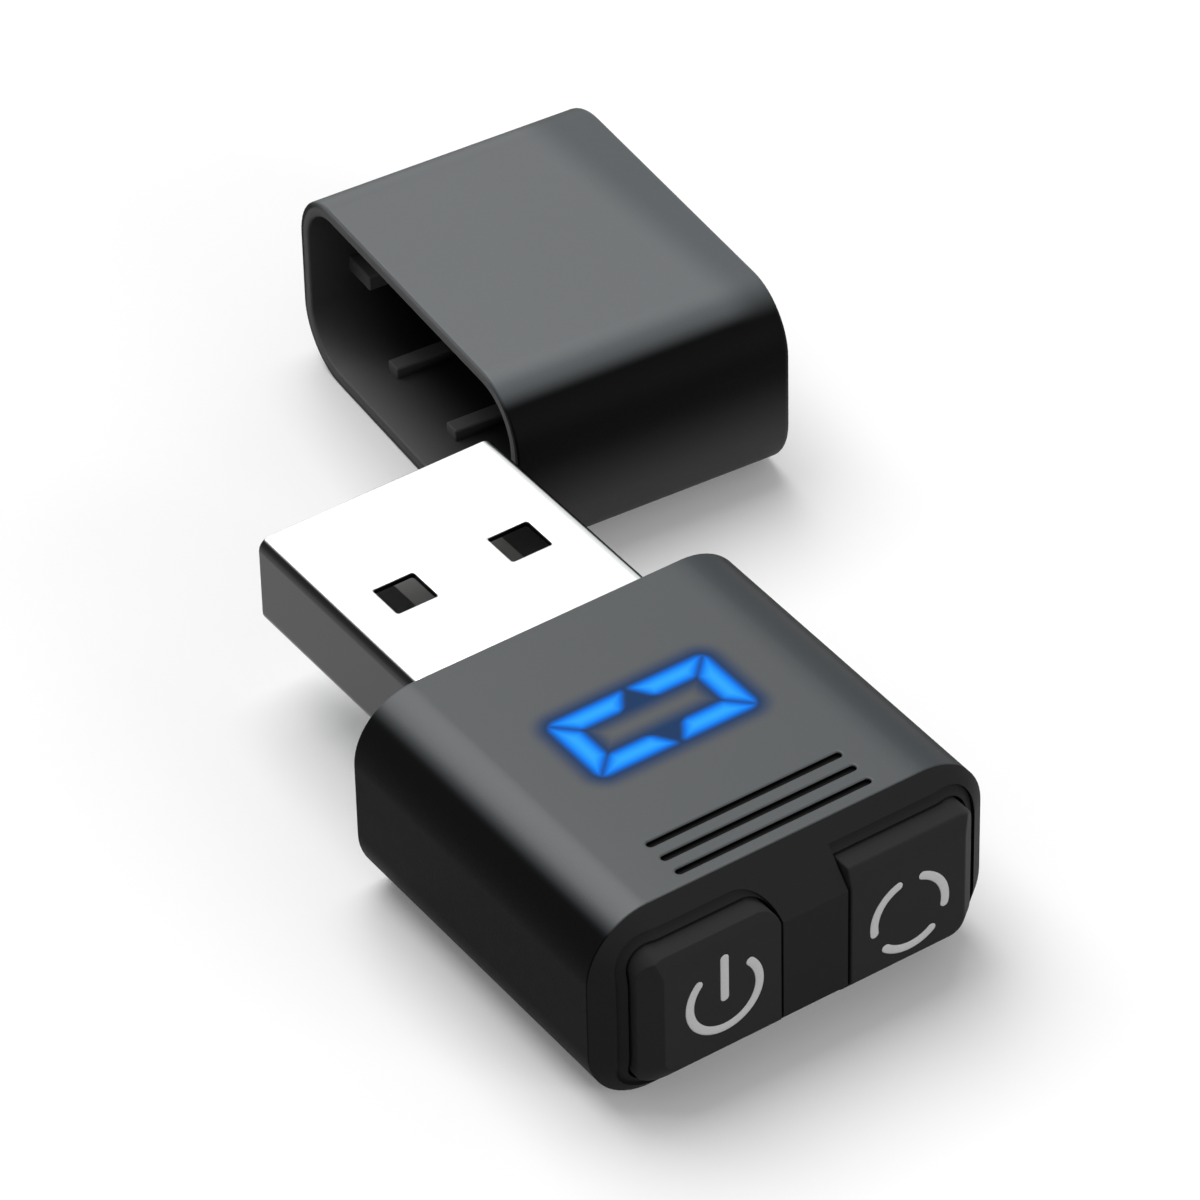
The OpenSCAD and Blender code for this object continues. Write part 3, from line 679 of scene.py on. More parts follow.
def cap_plastic(scene):
    """The cap's plastic, with painted light inside its mouth and on its ribs and guides, and painted shade
    that deepens further in. The attribute is below zero outside.
    """
    cap = scene.jiggler_cap
    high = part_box("cap_shell")[1] / MM
    finish, sockets = satin_plastic_with_painted_light("satin cap plastic with painted light", scene.jiggler_housing, cap, high, sheen_ends=0.4)
    depth = finish.get("ShaderNodeAttribute", {"attribute_name": "depth"}, output="Fac")
    inside = depth.ramp(-0.6, -0.1)
    # Painted light near the mouth that turns to painted shade deeper inside
    inner = finish.mix(depth.ramp(0, PAINTED_SHADE_DEPTH), cap.painted_mouth_light, cap.painted_depth_shade)
    sockets["base_color"] = finish.mix(inside, sockets["base_color"], inner)
    sockets["coat_weight"] *= 1 - inside
    return finish.shader(**sockets)


def digit_light(finish, digit):
    """How far a point is outside the digit's strokes, and outside its whole ring, in millimetres."""
    low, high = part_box("display_reflector")
    centre = (low + high) / (2 * MM)
    _, (x, y, _) = finish.place()
    across = abs(x - centre.x)
    from_end = digit.length / (2 * MM) - across
    from_side = digit.width / (2 * MM) - abs(y - centre.y)
    half = digit.segment / (2 * MM)
    tip = digit.tip / MM
    corner = (from_side - from_end).mitre(1, digit.gap / MM)
    side_bar = (abs(from_side - half) - half).meets(corner, tip / 2)
    middle = (from_side * digit.middle_slope - across).mitre(digit.middle_slope, digit.middle_gap / MM)
    corner = (from_end - from_side).mitre(1, digit.gap / MM)
    end_bar = (abs(from_end - half) - half).meets(corner, tip / 2)
    ring = (-from_side).meets(-from_end, 2.5 * tip).most(from_side.least(from_end) - 2 * half)
    return side_bar.meets(middle, tip).least(end_bar).most(ring), ring


def lit_plastic(scene):
    """The sleeve's plastic, with painted shade in its grooves and the digit that glows through its roof."""
    housing, digit = scene.jiggler_housing, scene.jiggler_display
    low, high = (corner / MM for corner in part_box("housing_sleeve"))
    finish, sockets = satin_plastic_with_painted_light("satin plastic with painted light and a lit digit", housing, housing, high,
        sheen_ends=0.8)
    _, (x, y, z) = finish.place()
    outside, outside_ring = digit_light(finish, digit)
    on_top = z.ramp(high.z - 0.2, high.z - 0.1)
    soft = digit.soft / MM
    lit = outside.ramp(soft, -soft) * on_top
    core = outside.ramp(0, -0.5)
    halo = outside_ring.ramp(digit.halo_reach / MM, 0) * on_top
    glow = finish.mix(halo, BLACK, digit.halo)
    light = finish.mix(lit, glow, finish.mix(core, digit.rim, digit.core))
    depth = high.z - z
    grooves_end = low.y + (housing.groove_rear + housing.groove_count * housing.groove_pitch) / MM
    # Painted shade in the grooves, black just under the rim and grey deeper down
    painted = depth.ramp(*GROOVE_SHADE_STARTS) * depth.ramp(*GROOVE_SHADE_ENDS) * abs(x).ramp(*GROOVE_SHADE_REACH)
    painted = painted * y.ramp(grooves_end, grooves_end - 0.3)
    groove_shade_colour = finish.mix(depth.ramp(*GROOVE_SHADE_PALER), BLACK, housing.painted_groove_shade)
    base = finish.mix(halo, sockets["base_color"], BLACK)
    base = finish.mix(painted, base, groove_shade_colour)
    dull = halo.most(painted)
    sockets.update(base_color=base, coat_weight=sockets["coat_weight"] * (1 - dull))
    return finish.shader(**sockets, emission_color=light, emission_strength=1.0)


def end_plastic(name, colour, roughness):
    finish = Finish(name)
    sockets = grained_plastic(finish, colour, 0.05 * MM, roughness, depth=0.15)
    return finish.shader(**sockets, specular_ior_level=0.05)


def printed_ink(scene):
    finish = Finish("grey printed ink")
    where, _ = finish.place()
    speckle = finish.noise(where, 0.06, detail=2)
    colour = scene.jiggler_signs.colour
    base = finish.mix(speckle, shade(colour, 0.9), shade(colour, 1.1))
    return finish.shader(base_color=base, roughness=0.5 + speckle * 0.1, specular_ior_level=0.2)


def nickel(scene):
    """Plating that is bright on the broad faces, with painted shade on the narrow sides and darker painted
    shade along the bends, and faint wipe marks.
    """
    finish = Finish("nickel plating with painted shade")
    settings = scene.jiggler_plug
    where, (_, _, z) = finish.place()
    lines = finish.noise(where, 0.05, detail=3, stretch=(1, 0.02, 1))
    wipes = finish.noise(where, 3.0, detail=3, roughness=0.6)
    half = settings.height / (2 * MM)
    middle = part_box("usb_shell")[1].z / MM - half
    from_face = half - abs(z - middle)
    broad = from_face.ramp(0.13, 0.01)
    # Painted shade on the narrow sides, darker along the bends
    side = finish.mix(from_face.ramp(0.4, 0.2), settings.painted_side_shade, settings.painted_edge_shade)
    marks = wipes * 0.6 + lines * 0.4
    bright = finish.mix(marks, shade(settings.colour, 0.94), settings.colour)
    return finish.shader(base_color=finish.mix(broad, side, bright), metallic=1.0,
        roughness=0.2 + wipes * 0.08 + (lines - 0.5) * 0.05, normal=finish.bump(lines, 0.002 * MM, 0.4))


def moulding(name, colour, roughness=0.45, size=0.2):
    """Plain moulded plastic with slight flow marks."""
    finish = Finish(name)
    where, _ = finish.place()
    flow = finish.noise(where, size, detail=3)
    base = finish.mix(flow, shade(colour, 0.88), shade(colour, 1.12))
    return finish.shader(base_color=base, roughness=roughness + (flow - 0.5) * 0.12,
        normal=finish.bump(flow, 0.004 * MM, 0.3), specular_ior_level=0.4)


def plated(name, colour, roughness=0.25):
    """Thin stamped metal with rolling marks."""
    finish = Finish(name)
    where, _ = finish.place()
    lines = finish.noise(where, 0.04, detail=3, stretch=(1, 0.05, 1))
    base = finish.mix(lines, shade(colour, 0.9), colour)
    return finish.shader(base_color=base, metallic=1.0, roughness=roughness + (lines - 0.5) * 0.1)


# ---- Geometry trees ----

# Sides of a printed stroke, and the least square of its radius, at its very ends
STROKE_SIDES = 12
LEAST_SQUARE = 1e-10


def new_tree(name, **numbers):
    """Geometry tree with its inputs by name: the geometry, some numbers and the material."""
    tree = bpy.data.node_groups.new(name, "GeometryNodeTree")
    tree.interface.new_socket("Geometry", in_out="OUTPUT", socket_type="NodeSocketGeometry")
    for socket, kind in {"Geometry": "Geometry", **numbers, "Material": "Material"}.items():
        tree.interface.new_socket(socket, in_out="INPUT", socket_type="NodeSocket" + kind)
    graph = Graph(tree)
    inputs = graph.node("NodeGroupInput")
    return tree, graph, {socket.name: Value(graph, socket) for socket in inputs.outputs if socket.name}


def end_tree(graph, instances, given, scale=(1, 1, 1), shift=(0, 0, 0)):
    """Ends a tree with its copies made real, placed and given their material."""
    real = graph.get("GeometryNodeRealizeInstances", inputs={"Geometry": instances})
    placed = graph.get("GeometryNodeTransform",
        inputs={"Geometry": real, "Scale": scale, "Translation": shift})
    painted = graph.get("GeometryNodeSetMaterial",
        inputs={"Geometry": placed, "Material": given["Material"]})
    graph.node("NodeGroupOutput", inputs={"Geometry": painted})


def set_inputs(modifier, **values):
    """Sets a tree's named inputs by the identifiers of their sockets."""
    names = {item.name: item.identifier for item in modifier.node_group.interface.items_tree
        if item.in_out == "INPUT"}
    for name, value in values.items():
        modifier[names[name]] = value


def repeat_tree():
    """Tree that sets a row of copies of a mesh, in steps about the place where the mesh is."""
    tree, graph, given = new_tree("row of copies", Count="Int", Pitch="Vector")
    index = graph.get("GeometryNodeInputIndex")
    from_middle = index - (given["Count"] - 1) * 0.5
    spot = graph.get("ShaderNodeVectorMath", {"operation": "SCALE"},
        {0: given["Pitch"], "Scale": from_middle})
    points = graph.get("GeometryNodePoints", inputs={"Count": given["Count"], "Position": spot})
    copies = graph.get("GeometryNodeInstanceOnPoints",
        inputs={"Points": points, "Instance": given["Geometry"]})
    end_tree(graph, copies, given)
    return tree


def repeat(piece, tree, material, *rows):
    """Turns a piece into rows of copies of it. Each row is a count and a step."""
    for count, pitch in rows:
        row = piece.modifiers.new("row", "NODES")
        row.node_group = tree
        set_inputs(row, Count=count, Pitch=pitch, Material=material)
    settle(piece)
    return piece


def stroke_tree():
    """Tree that turns edges into a flat printed stroke with round ends, repeated round a centre."""
    tree, graph, given = new_tree("printed stroke", Stroke="Float", Height="Float", Turn="Float",
        Step="Float", Copies="Int", Centre="Vector")
    curve = graph.get("GeometryNodeMeshToCurve", inputs={"Mesh": given["Geometry"]})
    curve = graph.get("GeometryNodeResampleCurve", {"mode": "LENGTH"},
        {"Curve": curve, "Length": given["Step"]})
    along = graph.node("GeometryNodeSplineParameter")
    from_start = Value(graph, along.outputs["Length"])
    whole = graph.get("GeometryNodeSplineLength")
    half = given["Stroke"] * 0.5
    to_end = from_start.least(whole - from_start).least(half)
    square = half * half - (half - to_end) * (half - to_end)
    radius = square.most(LEAST_SQUARE).root()
    ring = graph.get("GeometryNodeCurvePrimitiveCircle", inputs={"Resolution": STROKE_SIDES, "Radius": 1.0})
    stroke = graph.get("GeometryNodeCurveToMesh",
        inputs={"Curve": curve, "Profile Curve": ring, "Scale": radius, "Fill Caps": True})
    points = graph.get("GeometryNodePoints", inputs={"Count": given["Copies"]})
    index = graph.get("GeometryNodeInputIndex")
    euler = graph.get("ShaderNodeCombineXYZ", inputs={"Y": index * given["Turn"]})
    turned = graph.get("FunctionNodeEulerToRotation", inputs={"Euler": euler})
    copies = graph.get("GeometryNodeInstanceOnPoints",
        inputs={"Points": points, "Instance": stroke, "Rotation": turned})
    flat = graph.get("ShaderNodeCombineXYZ", inputs={"X": 1.0, "Y": given["Height"] / half, "Z": 1.0})
    end_tree(graph, copies, given, flat, given["Centre"])
    return tree


# ---- Pieces ----

# Gap round the plug in the front wall, and corner radius of the plug's square holes
PLUG_GAP = 0.05 * MM
HOLE_CORNER = 0.15 * MM

# Thickness of a soldering leg as a share of the sheet's, so that no two faces share a plane when they unite
LEG_SHARE = 0.96

# Closeness to the cap's walls, as shares of their thickness, at which a point is taken to be inside
# the cap, and on a rib or a guide
INSIDE_FROM = 0.8
RIB_FROM = 1.1


def make_sleeve(scene):
    settings = scene.jiggler_housing
    plug = scene.jiggler_plug
    low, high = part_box("housing_sleeve")
    width, height = high.x - low.x, high.z - low.z
    middle = (low.z + high.z) / 2
    rear, front = low.y, high.y
    wall, lip, radius = settings.wall, settings.lip, settings.edge_radius
    inner_lip = 0.05 * MM
    plug_low, plug_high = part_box("usb_shell")
    plug_width, plug_middle = plug_high.x - plug_low.x, plug_high.z - plug.height / 2
    skin = Skin()

    def housing_ring(inset, along):
        return skin.section(width - 2 * inset, height - 2 * inset, radius - inset, along, middle)

    def hole_ring(outset, along):
        gap = PLUG_GAP + outset
        return skin.section(plug_width + 2 * gap, plug.height + 2 * gap, plug.corner + gap, along,
            plug_middle)

    rings = [housing_ring(wall, front - settings.front_wall)]
    rings += [housing_ring(wall - inset, rear + inner_lip - on) for inset, on in rounding(inner_lip)]
    rings += [housing_ring(inset, rear + lip - on) for inset, on in reversed(rounding(lip))]
    rear_edge = len(rings) - 1
    rings += [housing_ring(inset, front - lip + on) for inset, on in rounding(lip)]
    rings += [hole_ring(inset, front - lip + on) for inset, on in reversed(rounding(lip))]
    rings += [hole_ring(0, front - settings.front_wall)]
    skin.tube(rings, {rear_edge: (TOP,)}, closed=True)

    grooves = []
    for i in range(settings.groove_count):
        along = rear + settings.groove_rear + i * settings.groove_pitch
        grooves.append(sink_groove(skin, settings, along, high.z))
    first, second = rings[rear_edge], rings[rear_edge + 1]
    skin.fill([first[TOP], first[TOP + 1], second[TOP + 1], second[TOP]], grooves)

    piece = new_object("sleeve", skin.to_mesh("sleeve"))
    smooth(piece)
    finish_piece(piece, "stick", lit_plastic(scene), "housing", "housing_sleeve")


def sink_groove(skin, settings, along, top):
    """Sinks one groove with soft edges, and returns its rim, which stands off to keep the roof flat."""
    edge = settings.groove_width * 0.2
    floor = top - settings.groove_depth

    def groove_ring(grow, level):
        points = stadium(settings.groove_length + 2 * grow, settings.groove_width + 2 * grow)
        return skin.ring([(x, along + y, level) for x, y in points])

    rings = [groove_ring(1.6 * edge, top)]
    rings += [groove_ring(inset, top - edge + on) for inset, on in reversed(rounding(edge))]
    rings += [groove_ring(-inset, floor + edge - on) for inset, on in rounding(edge)]
    skin.tube(rings)
    skin.fill(rings[-1])
    return rings[0]


def make_bezel(scene):
    settings = scene.jiggler_end
    piece = softened("end_bezel", "bezel", settings.rounding)
    smooth(piece)
    plastic = end_plastic("matt black plastic", settings.colour, settings.roughness)
    finish_piece(piece, "stick", plastic, "end_block", "end_bezel")


def make_buttons(scene):
    settings = scene.jiggler_end
    plastic = end_plastic("matt button plastic", settings.button_colour, settings.roughness)
    for side in ("power", "mode"):
        piece = softened(f"{side}_button", f"{side}_push_button", settings.rounding)
        smooth(piece)
        finish_piece(piece, f"{side}_key", plastic, "button", f"{side}_button")


def arc(radius, start, end, steps=48):
    turns = [start + (end - start) * step / steps for step in range(steps + 1)]
    return [(radius * math.cos(turn), 0, radius * math.sin(turn)) for turn in turns]


def print_sign(scene, tree, name, lines, centre, body, copies=1):
    settings = scene.jiggler_signs
    points = [point for line in lines for point in line]
    edges = []
    start = 0
    for line in lines:
        edges += [(i, i + 1) for i in range(start, start + len(line) - 1)]
        start += len(line)
    mesh = bpy.data.meshes.new(name)
    mesh.from_pydata(points, edges, [])
    piece = new_object(name, mesh)
    ink = printed_ink(scene)
    modifier = piece.modifiers.new("printed stroke", "NODES")
    modifier.node_group = tree
    set_inputs(modifier, Stroke=settings.stroke, Height=settings.height, Turn=2 * math.pi / copies,
        Step=settings.stroke / 12, Copies=copies, Centre=centre, Material=ink)
    settle(piece)
    piece.data.shade_smooth()
    finish_piece(piece, body, ink, "button")


def make_signs(scene):
    settings = scene.jiggler_signs
    tree = stroke_tree()
    up, half = QUARTER_TURN, settings.power_opening / 2
    across, level = settings.power_at
    bar = [(0, 0, settings.bar_bottom - level), (0, 0, settings.bar_top - level)]
    ring = arc(settings.power_radius, up + half, up + 2 * math.pi - half)
    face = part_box("power_button")[0].y
    print_sign(scene, tree, "power_sign", [ring, bar], (across, face, level), "power_key")
    across, level = settings.mode_at
    dash = arc(settings.mode_radius, settings.mode_turn - settings.mode_sweep / 2,
        settings.mode_turn + settings.mode_sweep / 2)
    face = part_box("mode_button")[0].y
    print_sign(scene, tree, "mode_sign", [dash], (across, face, level), "mode_key", settings.mode_dashes)


def make_plug(scene):
    settings = scene.jiggler_plug
    low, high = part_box("usb_shell")
    width, height = high.x - low.x, settings.height
    middle = high.z - height / 2
    hole_at = high.y - settings.hole_from_tip
    sheet, lip, radius = settings.sheet, settings.lip, settings.corner
    edge = 0.05 * MM
    skin = Skin()

    def plug_ring(inset, along, depth):
        return skin.section(width - 2 * inset, height - 2 * inset, radius - inset, along, middle,
            (settings.seam, depth))

    def lips(end, toward):
        """Rings round the sheet's edge at one end, from the outer wall to the inner one."""
        outer = [plug_ring(inset, end + toward * (on - lip), settings.seam_depth)
            for inset, on in rounding(lip)]
        inner = [plug_ring(sheet - inset, end + toward * (on - edge), 0)
            for inset, on in reversed(rounding(edge))]
        return outer + inner

    def hole_ring(side, grow, level):
        points = outline(settings.hole_width + 2 * grow, settings.hole_length + 2 * grow, HOLE_CORNER)
        return skin.ring([(side * settings.hole_pitch / 2 + x, hole_at + y, level) for x, y in points])

    front, rear = lips(high.y, 1), lips(low.y, -1)
    rings = front + rear[::-1]
    inside, outside = len(front) - 1, len(rings) - 1
    flats = {TOP: (-1, 1), BOTTOM: (-1,), BOTTOM_PAST_NOTCH: (1,)}
    skin.tube(rings, {inside: flats, outside: flats}, closed=True)
    rims = {start: [] for start in flats}
    for wall, grow in ((outside, 2 * edge), (inside, 0)):
        first, second = rings[wall], rings[(wall + 1) % len(rings)]
        for start, sides in flats.items():
            flat = [first[start], first[start + 1], second[start + 1], second[start]]
            holes = [hole_ring(side, grow, flat[0].co.z) for side in sides]
            skin.fill(flat, holes)
            rims[start].append(holes)
    for start, walls in rims.items():
        inward = -1 if start == TOP else 1
        for side, outer, inner in zip(flats[start], *walls):
            level = outer[0].co.z
            steps = [hole_ring(side, inset, level + inward * (edge - on))
                for inset, on in reversed(rounding(edge))]
            skin.tube([outer, *steps, inner])

    piece = new_object("plug_shell", skin.to_mesh("plug_shell"))
    metal = nickel(scene)
    join(piece, make_legs(settings, metal))
    smooth(piece)
    finish_piece(piece, "stick", metal, "plug_metal", "usb_shell")


def make_legs(settings, metal):
    """The four soldering legs, with rounded corners, where the frame's plug has them."""
    low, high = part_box("usb_shell")
    underside = high.z - settings.height
    below = underside - 0.2 * MM
    feet = sorted({round(vertex.co.y, 6) for vertex in NODES["usb_shell"].data.vertices
        if vertex.co.z < below})
    width = feet[1] - feet[0]
    rear, front = (feet[0] + feet[1]) / 2, (feet[2] + feet[3]) / 2
    top = underside + settings.corner
    thickness = settings.sheet * LEG_SHARE
    soft = 0.1 * MM
    skin = Skin()
    rings = []
    for inset, on in [*reversed(rounding(soft)), (0, soft - top + low.z)]:
        points = outline(thickness, width - 2 * inset, thickness / 3)
        rings.append(skin.ring([(x, (rear + front) / 2 + y, low.z + soft - on) for x, y in points]))
    skin.tube(rings)
    skin.fill(rings[0])
    skin.fill(rings[-1])
    legs = new_object("legs", skin.to_mesh("legs"))
    apart = high.x - low.x - settings.sheet
    return repeat(legs, repeat_tree(), metal, (2, (apart, 0, 0)), (2, (0, front - rear, 0)))


def make_tongue():
    piece = softened("usb_insulator", "plug_tongue", 0.04 * MM, steps=2)
    smooth(piece)
    plastic = moulding("tongue plastic", (0.32, 0.322, 0.325), 0.4)
    finish_piece(piece, "stick", plastic, "plug_plastic", "usb_insulator")


def join(piece, addition):
    """Unites a piece with another object, which is used up. Millimetres keep the solver's digits."""
    for part in (piece, addition):
        part.data.transform(Matrix.Scale(1 / MM, 4))
    union = piece.modifiers.new("union", "BOOLEAN")
    union.operation = "UNION"
    union.solver = "EXACT"
    union.object = addition
    settle(piece)
    bpy.data.objects.remove(addition)
    piece.data.transform(Matrix.Scale(MM, 4))


def make_cap(scene):
    settings = scene.jiggler_cap
    housing = scene.jiggler_housing
    pull = next(joint for joint in frame["joints"] if joint["child"] == "cap")
    axis = Vector(pull["axis"])
    turn = Matrix.Rotation(math.atan2(axis.y, axis.x) - QUARTER_TURN, 4, "Z")
    local = [turn.inverted() @ vertex.co for vertex in NODES["cap_shell"].data.vertices]
    low = Vector(min(point[i] for point in local) for i in range(3))
    high = Vector(max(point[i] for point in local) for i in range(3))
    width, height, length = high.x - low.x, high.z - low.z, high.y - low.y
    middle = height / 2
    wall, lip, radius = settings.wall, settings.lip, housing.edge_radius
    inner_end = length - settings.end
    fillet = 0.3 * MM
    skin = Skin()

    def cap_ring(inset, along):
        return skin.section(width - 2 * inset, height - 2 * inset, radius - inset, along, middle)

    rings = [cap_ring(wall + inset, inner_end - fillet + on) for inset, on in reversed(rounding(fillet))]
    rings += [cap_ring(wall - inset, lip - on) for inset, on in rounding(lip)]
    rings += [cap_ring(inset, lip - on) for inset, on in reversed(rounding(lip))]
    rings += [cap_ring(inset, length - settings.end_radius + on)
        for inset, on in rounding(settings.end_radius, 6)]
    skin.tube(rings)
    skin.fill(rings[0])
    skin.fill(rings[-1])
    piece = new_object("cap", skin.to_mesh("cap"))

    plastic = cap_plastic(scene)
    tree = repeat_tree()
    back = inner_end + settings.end / 2
    rib_levels = (wall / 2, wall + settings.rib_height)
    rib = make_bar("ribs", settings.rib_width, rib_levels, settings.rib_back, back)
    join(piece, repeat(rib, tree, plastic, (3, (settings.rib_pitch, 0, 0))))
    guide_end = width / 2 - wall / 2
    guide_levels = (settings.guide_bottom, settings.guide_bottom + settings.guide_height)
    guide = make_bar("guides", guide_end - settings.guide_place, guide_levels, settings.rib_back, back)
    join(piece, repeat(guide, tree, plastic, (2, (guide_end + settings.guide_place, 0, 0))))

    # -1 outside, 0 on the ribs and guides, which take the painted light of the mouth, and 1 more than the
    # depth in millimetres elsewhere inside, where the painted shade deepens
    depth = piece.data.attributes.new("depth", "FLOAT", "POINT")
    for vertex, value in zip(piece.data.vertices, depth.data):
        aside = abs(vertex.co.x) - (width / 2 - radius)
        aloft = abs(vertex.co.z - middle) - (height / 2 - radius)
        inset = radius - min(max(aside, aloft), 0) - math.hypot(max(aside, 0), max(aloft, 0))
        inside = inset > INSIDE_FROM * wall and vertex.co.y < inner_end + 0.01 * MM
        on_rib = inset > RIB_FROM * wall and vertex.co.y < inner_end - fillet
        value.value = (0 if on_rib else 1 + vertex.co.y / MM) if inside else -1
    piece.data.transform(turn @ Matrix.Translation((low.x + width / 2, low.y, low.z)))
    smooth(piece)
    finish_piece(piece, "cap", plastic, "cap", "cap_shell")


def make_bar(name, width, levels, front, back):
    """Straight bar along Y whose front edges are a little rounded."""
    soft = 0.08 * MM
    middle = (levels[0] + levels[1]) / 2
    skin = Skin()
    rings = [skin.section(width - 2 * inset, levels[1] - levels[0] - 2 * inset, soft * 1.5 - inset,
        front + soft - on, middle)
        for inset, on in [*reversed(rounding(soft)), (0, front + soft - back)]]
    skin.tube(rings)
    skin.fill(rings[0])
    skin.fill(rings[-1])
    return new_object(name, skin.to_mesh(name))


def paint(material, *nodes):
    """Gives pieces of the frame that stay as they are one finish."""
    for name in nodes:
        NODES[name].data.materials.clear()
        NODES[name].data.materials.append(material)


def finish_inside():
    package = (0.02, 0.02, 0.022)
    plating = plated("plated spring metal", (0.9, 0.89, 0.87), 0.6)
    paint(plating, "contact_power", "contact_data_minus", "contact_data_plus", "contact_ground")
    paint(moulding("green solder mask", (0.02, 0.13, 0.06), 0.35), "circuit_board")
    paint(moulding("black chip package", package, 0.6), "microcontroller", "voltage_regulator")
    steel = plated("stamped steel", (0.62, 0.61, 0.6))
    paint(steel, "crystal", "power_switch_cover", "mode_switch_cover", "power_switch_dome",
        "mode_switch_dome")
    paint(moulding("tan ceramic", (0.42, 0.28, 0.14)), "capacitors")
    paint(moulding("black resistor", package), "segment_resistors")
    paint(moulding("clear resin", (0.8, 0.78, 0.55), 0.2), "display_leds")
    paint(moulding("white light block", (0.85, 0.85, 0.82)), "display_reflector")
    paint(moulding("milky film", (0.6, 0.75, 0.95)), "display_diffuser")
    paint(moulding("black switch case", package), "power_switch_case", "mode_switch_case")
    paint(moulding("white plunger", (0.8, 0.8, 0.77)), "power_switch_plunger", "mode_switch_plunger")


# ---- Stage ----

# Half of the floor's side, and the colour that it has for the light that it scatters onto the object
FLOOR_REACH = 1.5
UNSEEN_FLOOR = (0.05, 0.05, 0.05)


def make_camera(settings):
    turn, height, roll = settings.azimuth, settings.elevation, settings.roll
    back = Vector((math.sin(turn) * math.cos(height), -math.cos(turn) * math.cos(height),
        math.sin(height)))
    right = Vector((math.cos(turn), math.sin(turn), 0))
    up = back.cross(right)
    rolled_right = math.cos(roll) * right + math.sin(roll) * up
    rolled_up = -math.sin(roll) * right + math.cos(roll) * up
    data = bpy.data.cameras.new("camera")
    data.lens = settings.lens
    data.sensor_width = 36
    data.clip_start = 0.01
    data.clip_end = 50
    camera = bpy.data.objects.new("camera", data)
    axes = Matrix((rolled_right, rolled_up, back)).transposed().to_4x4()
    camera.matrix_world = Matrix.Translation(settings.camera_at) @ axes
    bpy.context.scene.collection.objects.link(camera)
    bpy.context.scene.camera = camera


def make_lamp(name, size, power, place):
    """A square lamp that faces the origin."""
    data = bpy.data.lights.new(name, "AREA")
    data.shape = "RECTANGLE"
    data.size = data.size_y = size
    data.energy = power
    lamp = bpy.data.objects.new(name, data)
    lamp.location = place
    lamp.rotation_euler = (Vector((0, 0, 0)) - Vector(place)).to_track_quat("-Z", "Y").to_euler()
    bpy.context.scene.collection.objects.link(lamp)


def seen_directly(graph):
    """1 for rays from the camera, from gloss and through glass, and 0 for light that a surface scatters."""
    path = graph.node("ShaderNodeLightPath")
    camera, gloss, glass = (Value(graph, path.outputs[f"Is {kind} Ray"])
        for kind in ("Camera", "Glossy", "Transmission"))
    return camera.most(gloss).most(glass)


def make_floor(settings):
    finish = Finish("white floor")
    where, _ = finish.place()
    cloud = finish.noise(where, 40.0, detail=2)
    white = finish.mix(cloud, tuple(part * 0.99 for part in settings.floor), settings.floor)
    seen = seen_directly(finish)
    colour = finish.mix(seen, UNSEEN_FLOOR, white)
    glow = finish.mix(seen, BLACK, settings.floor_glow)
    material = finish.shader(base_color=colour, roughness=1.0, specular_ior_level=0.0,
        emission_color=glow, emission_strength=1.0)
    skin = Skin()
    reach = FLOOR_REACH
    skin.fill(skin.ring([(-reach, -reach, 0), (reach, -reach, 0), (reach, reach, 0), (-reach, reach, 0)]))
    floor = new_object("floor", skin.to_mesh("floor"))
    if floor.data.polygons[0].normal.z < 0:
        floor.data.flip_normals()
    floor.data.materials.append(material)


def make_world(settings):
    world = bpy.data.worlds.new("surroundings")
    world.use_nodes = True
    graph = Graph(world.node_tree)
    graph.tree.nodes.clear()
    strength = settings.world + seen_directly(graph) * (1 - settings.world)
    shader = graph.get("ShaderNodeBackground", inputs={"Color": (1, 1, 1, 1), "Strength": strength})
    graph.node("ShaderNodeOutputWorld", inputs={"Surface": shader})
    bpy.context.scene.world = world


def make_stage(scene):
    settings = scene.jiggler_stage
    make_camera(settings)
    make_floor(settings)
    make_world(settings)
    make_lamp("softbox", 0.5, settings.softbox, (0.0, 0.25, 0.55))
    make_lamp("fill", 0.3, settings.fill, (0.15, -0.5, 0.15))
    scene.view_settings.view_transform = "Standard"


# ---- Operators ----

def finished(*names):
    """Result of an operator, once each piece that it makes has faces. If one hasn't, the script stops."""
    for name in names:
        piece = bpy.data.objects.get(name)
        if piece is None or not piece.data.polygons:
            raise RuntimeError(f"The piece {name} came out empty.")
    return {"FINISHED"}


class JIGGLER_OT_stage(Operator):
    """Set up the camera, the white floor, the surroundings and the lamps"""

    bl_idname = "jiggler.stage"
    bl_label = "Stage"
    bl_options = {"REGISTER", "UNDO"}

    def execute(self, context):
        make_stage(context.scene)
        return finished("floor")


class JIGGLER_OT_sleeve(Operator):
    """Model the sleeve of the housing, with its grooves and its lit digit"""

    bl_idname = "jiggler.sleeve"
    bl_label = "Sleeve"
    bl_options = {"REGISTER", "UNDO"}

    def execute(self, context):
        make_sleeve(context.scene)
        return finished("sleeve")


class JIGGLER_OT_bezel(Operator):
    """Model the bevelled end block that frames the buttons"""

    bl_idname = "jiggler.bezel"
    bl_label = "End block"
    bl_options = {"REGISTER", "UNDO"}

    def execute(self, context):
        make_bezel(context.scene)
        return finished("bezel")


class JIGGLER_OT_buttons(Operator):
    """Model the power button and the mode button"""

    bl_idname = "jiggler.buttons"
    bl_label = "Buttons"
    bl_options = {"REGISTER", "UNDO"}

    def execute(self, context):
        make_buttons(context.scene)
        return finished("power_push_button", "mode_push_button")


class JIGGLER_OT_signs(Operator):
    """Print the power sign and the mode sign on the buttons"""

    bl_idname = "jiggler.signs"
    bl_label = "Signs"
    bl_options = {"REGISTER", "UNDO"}

    def execute(self, context):
        make_signs(context.scene)
        return finished("power_sign", "mode_sign")


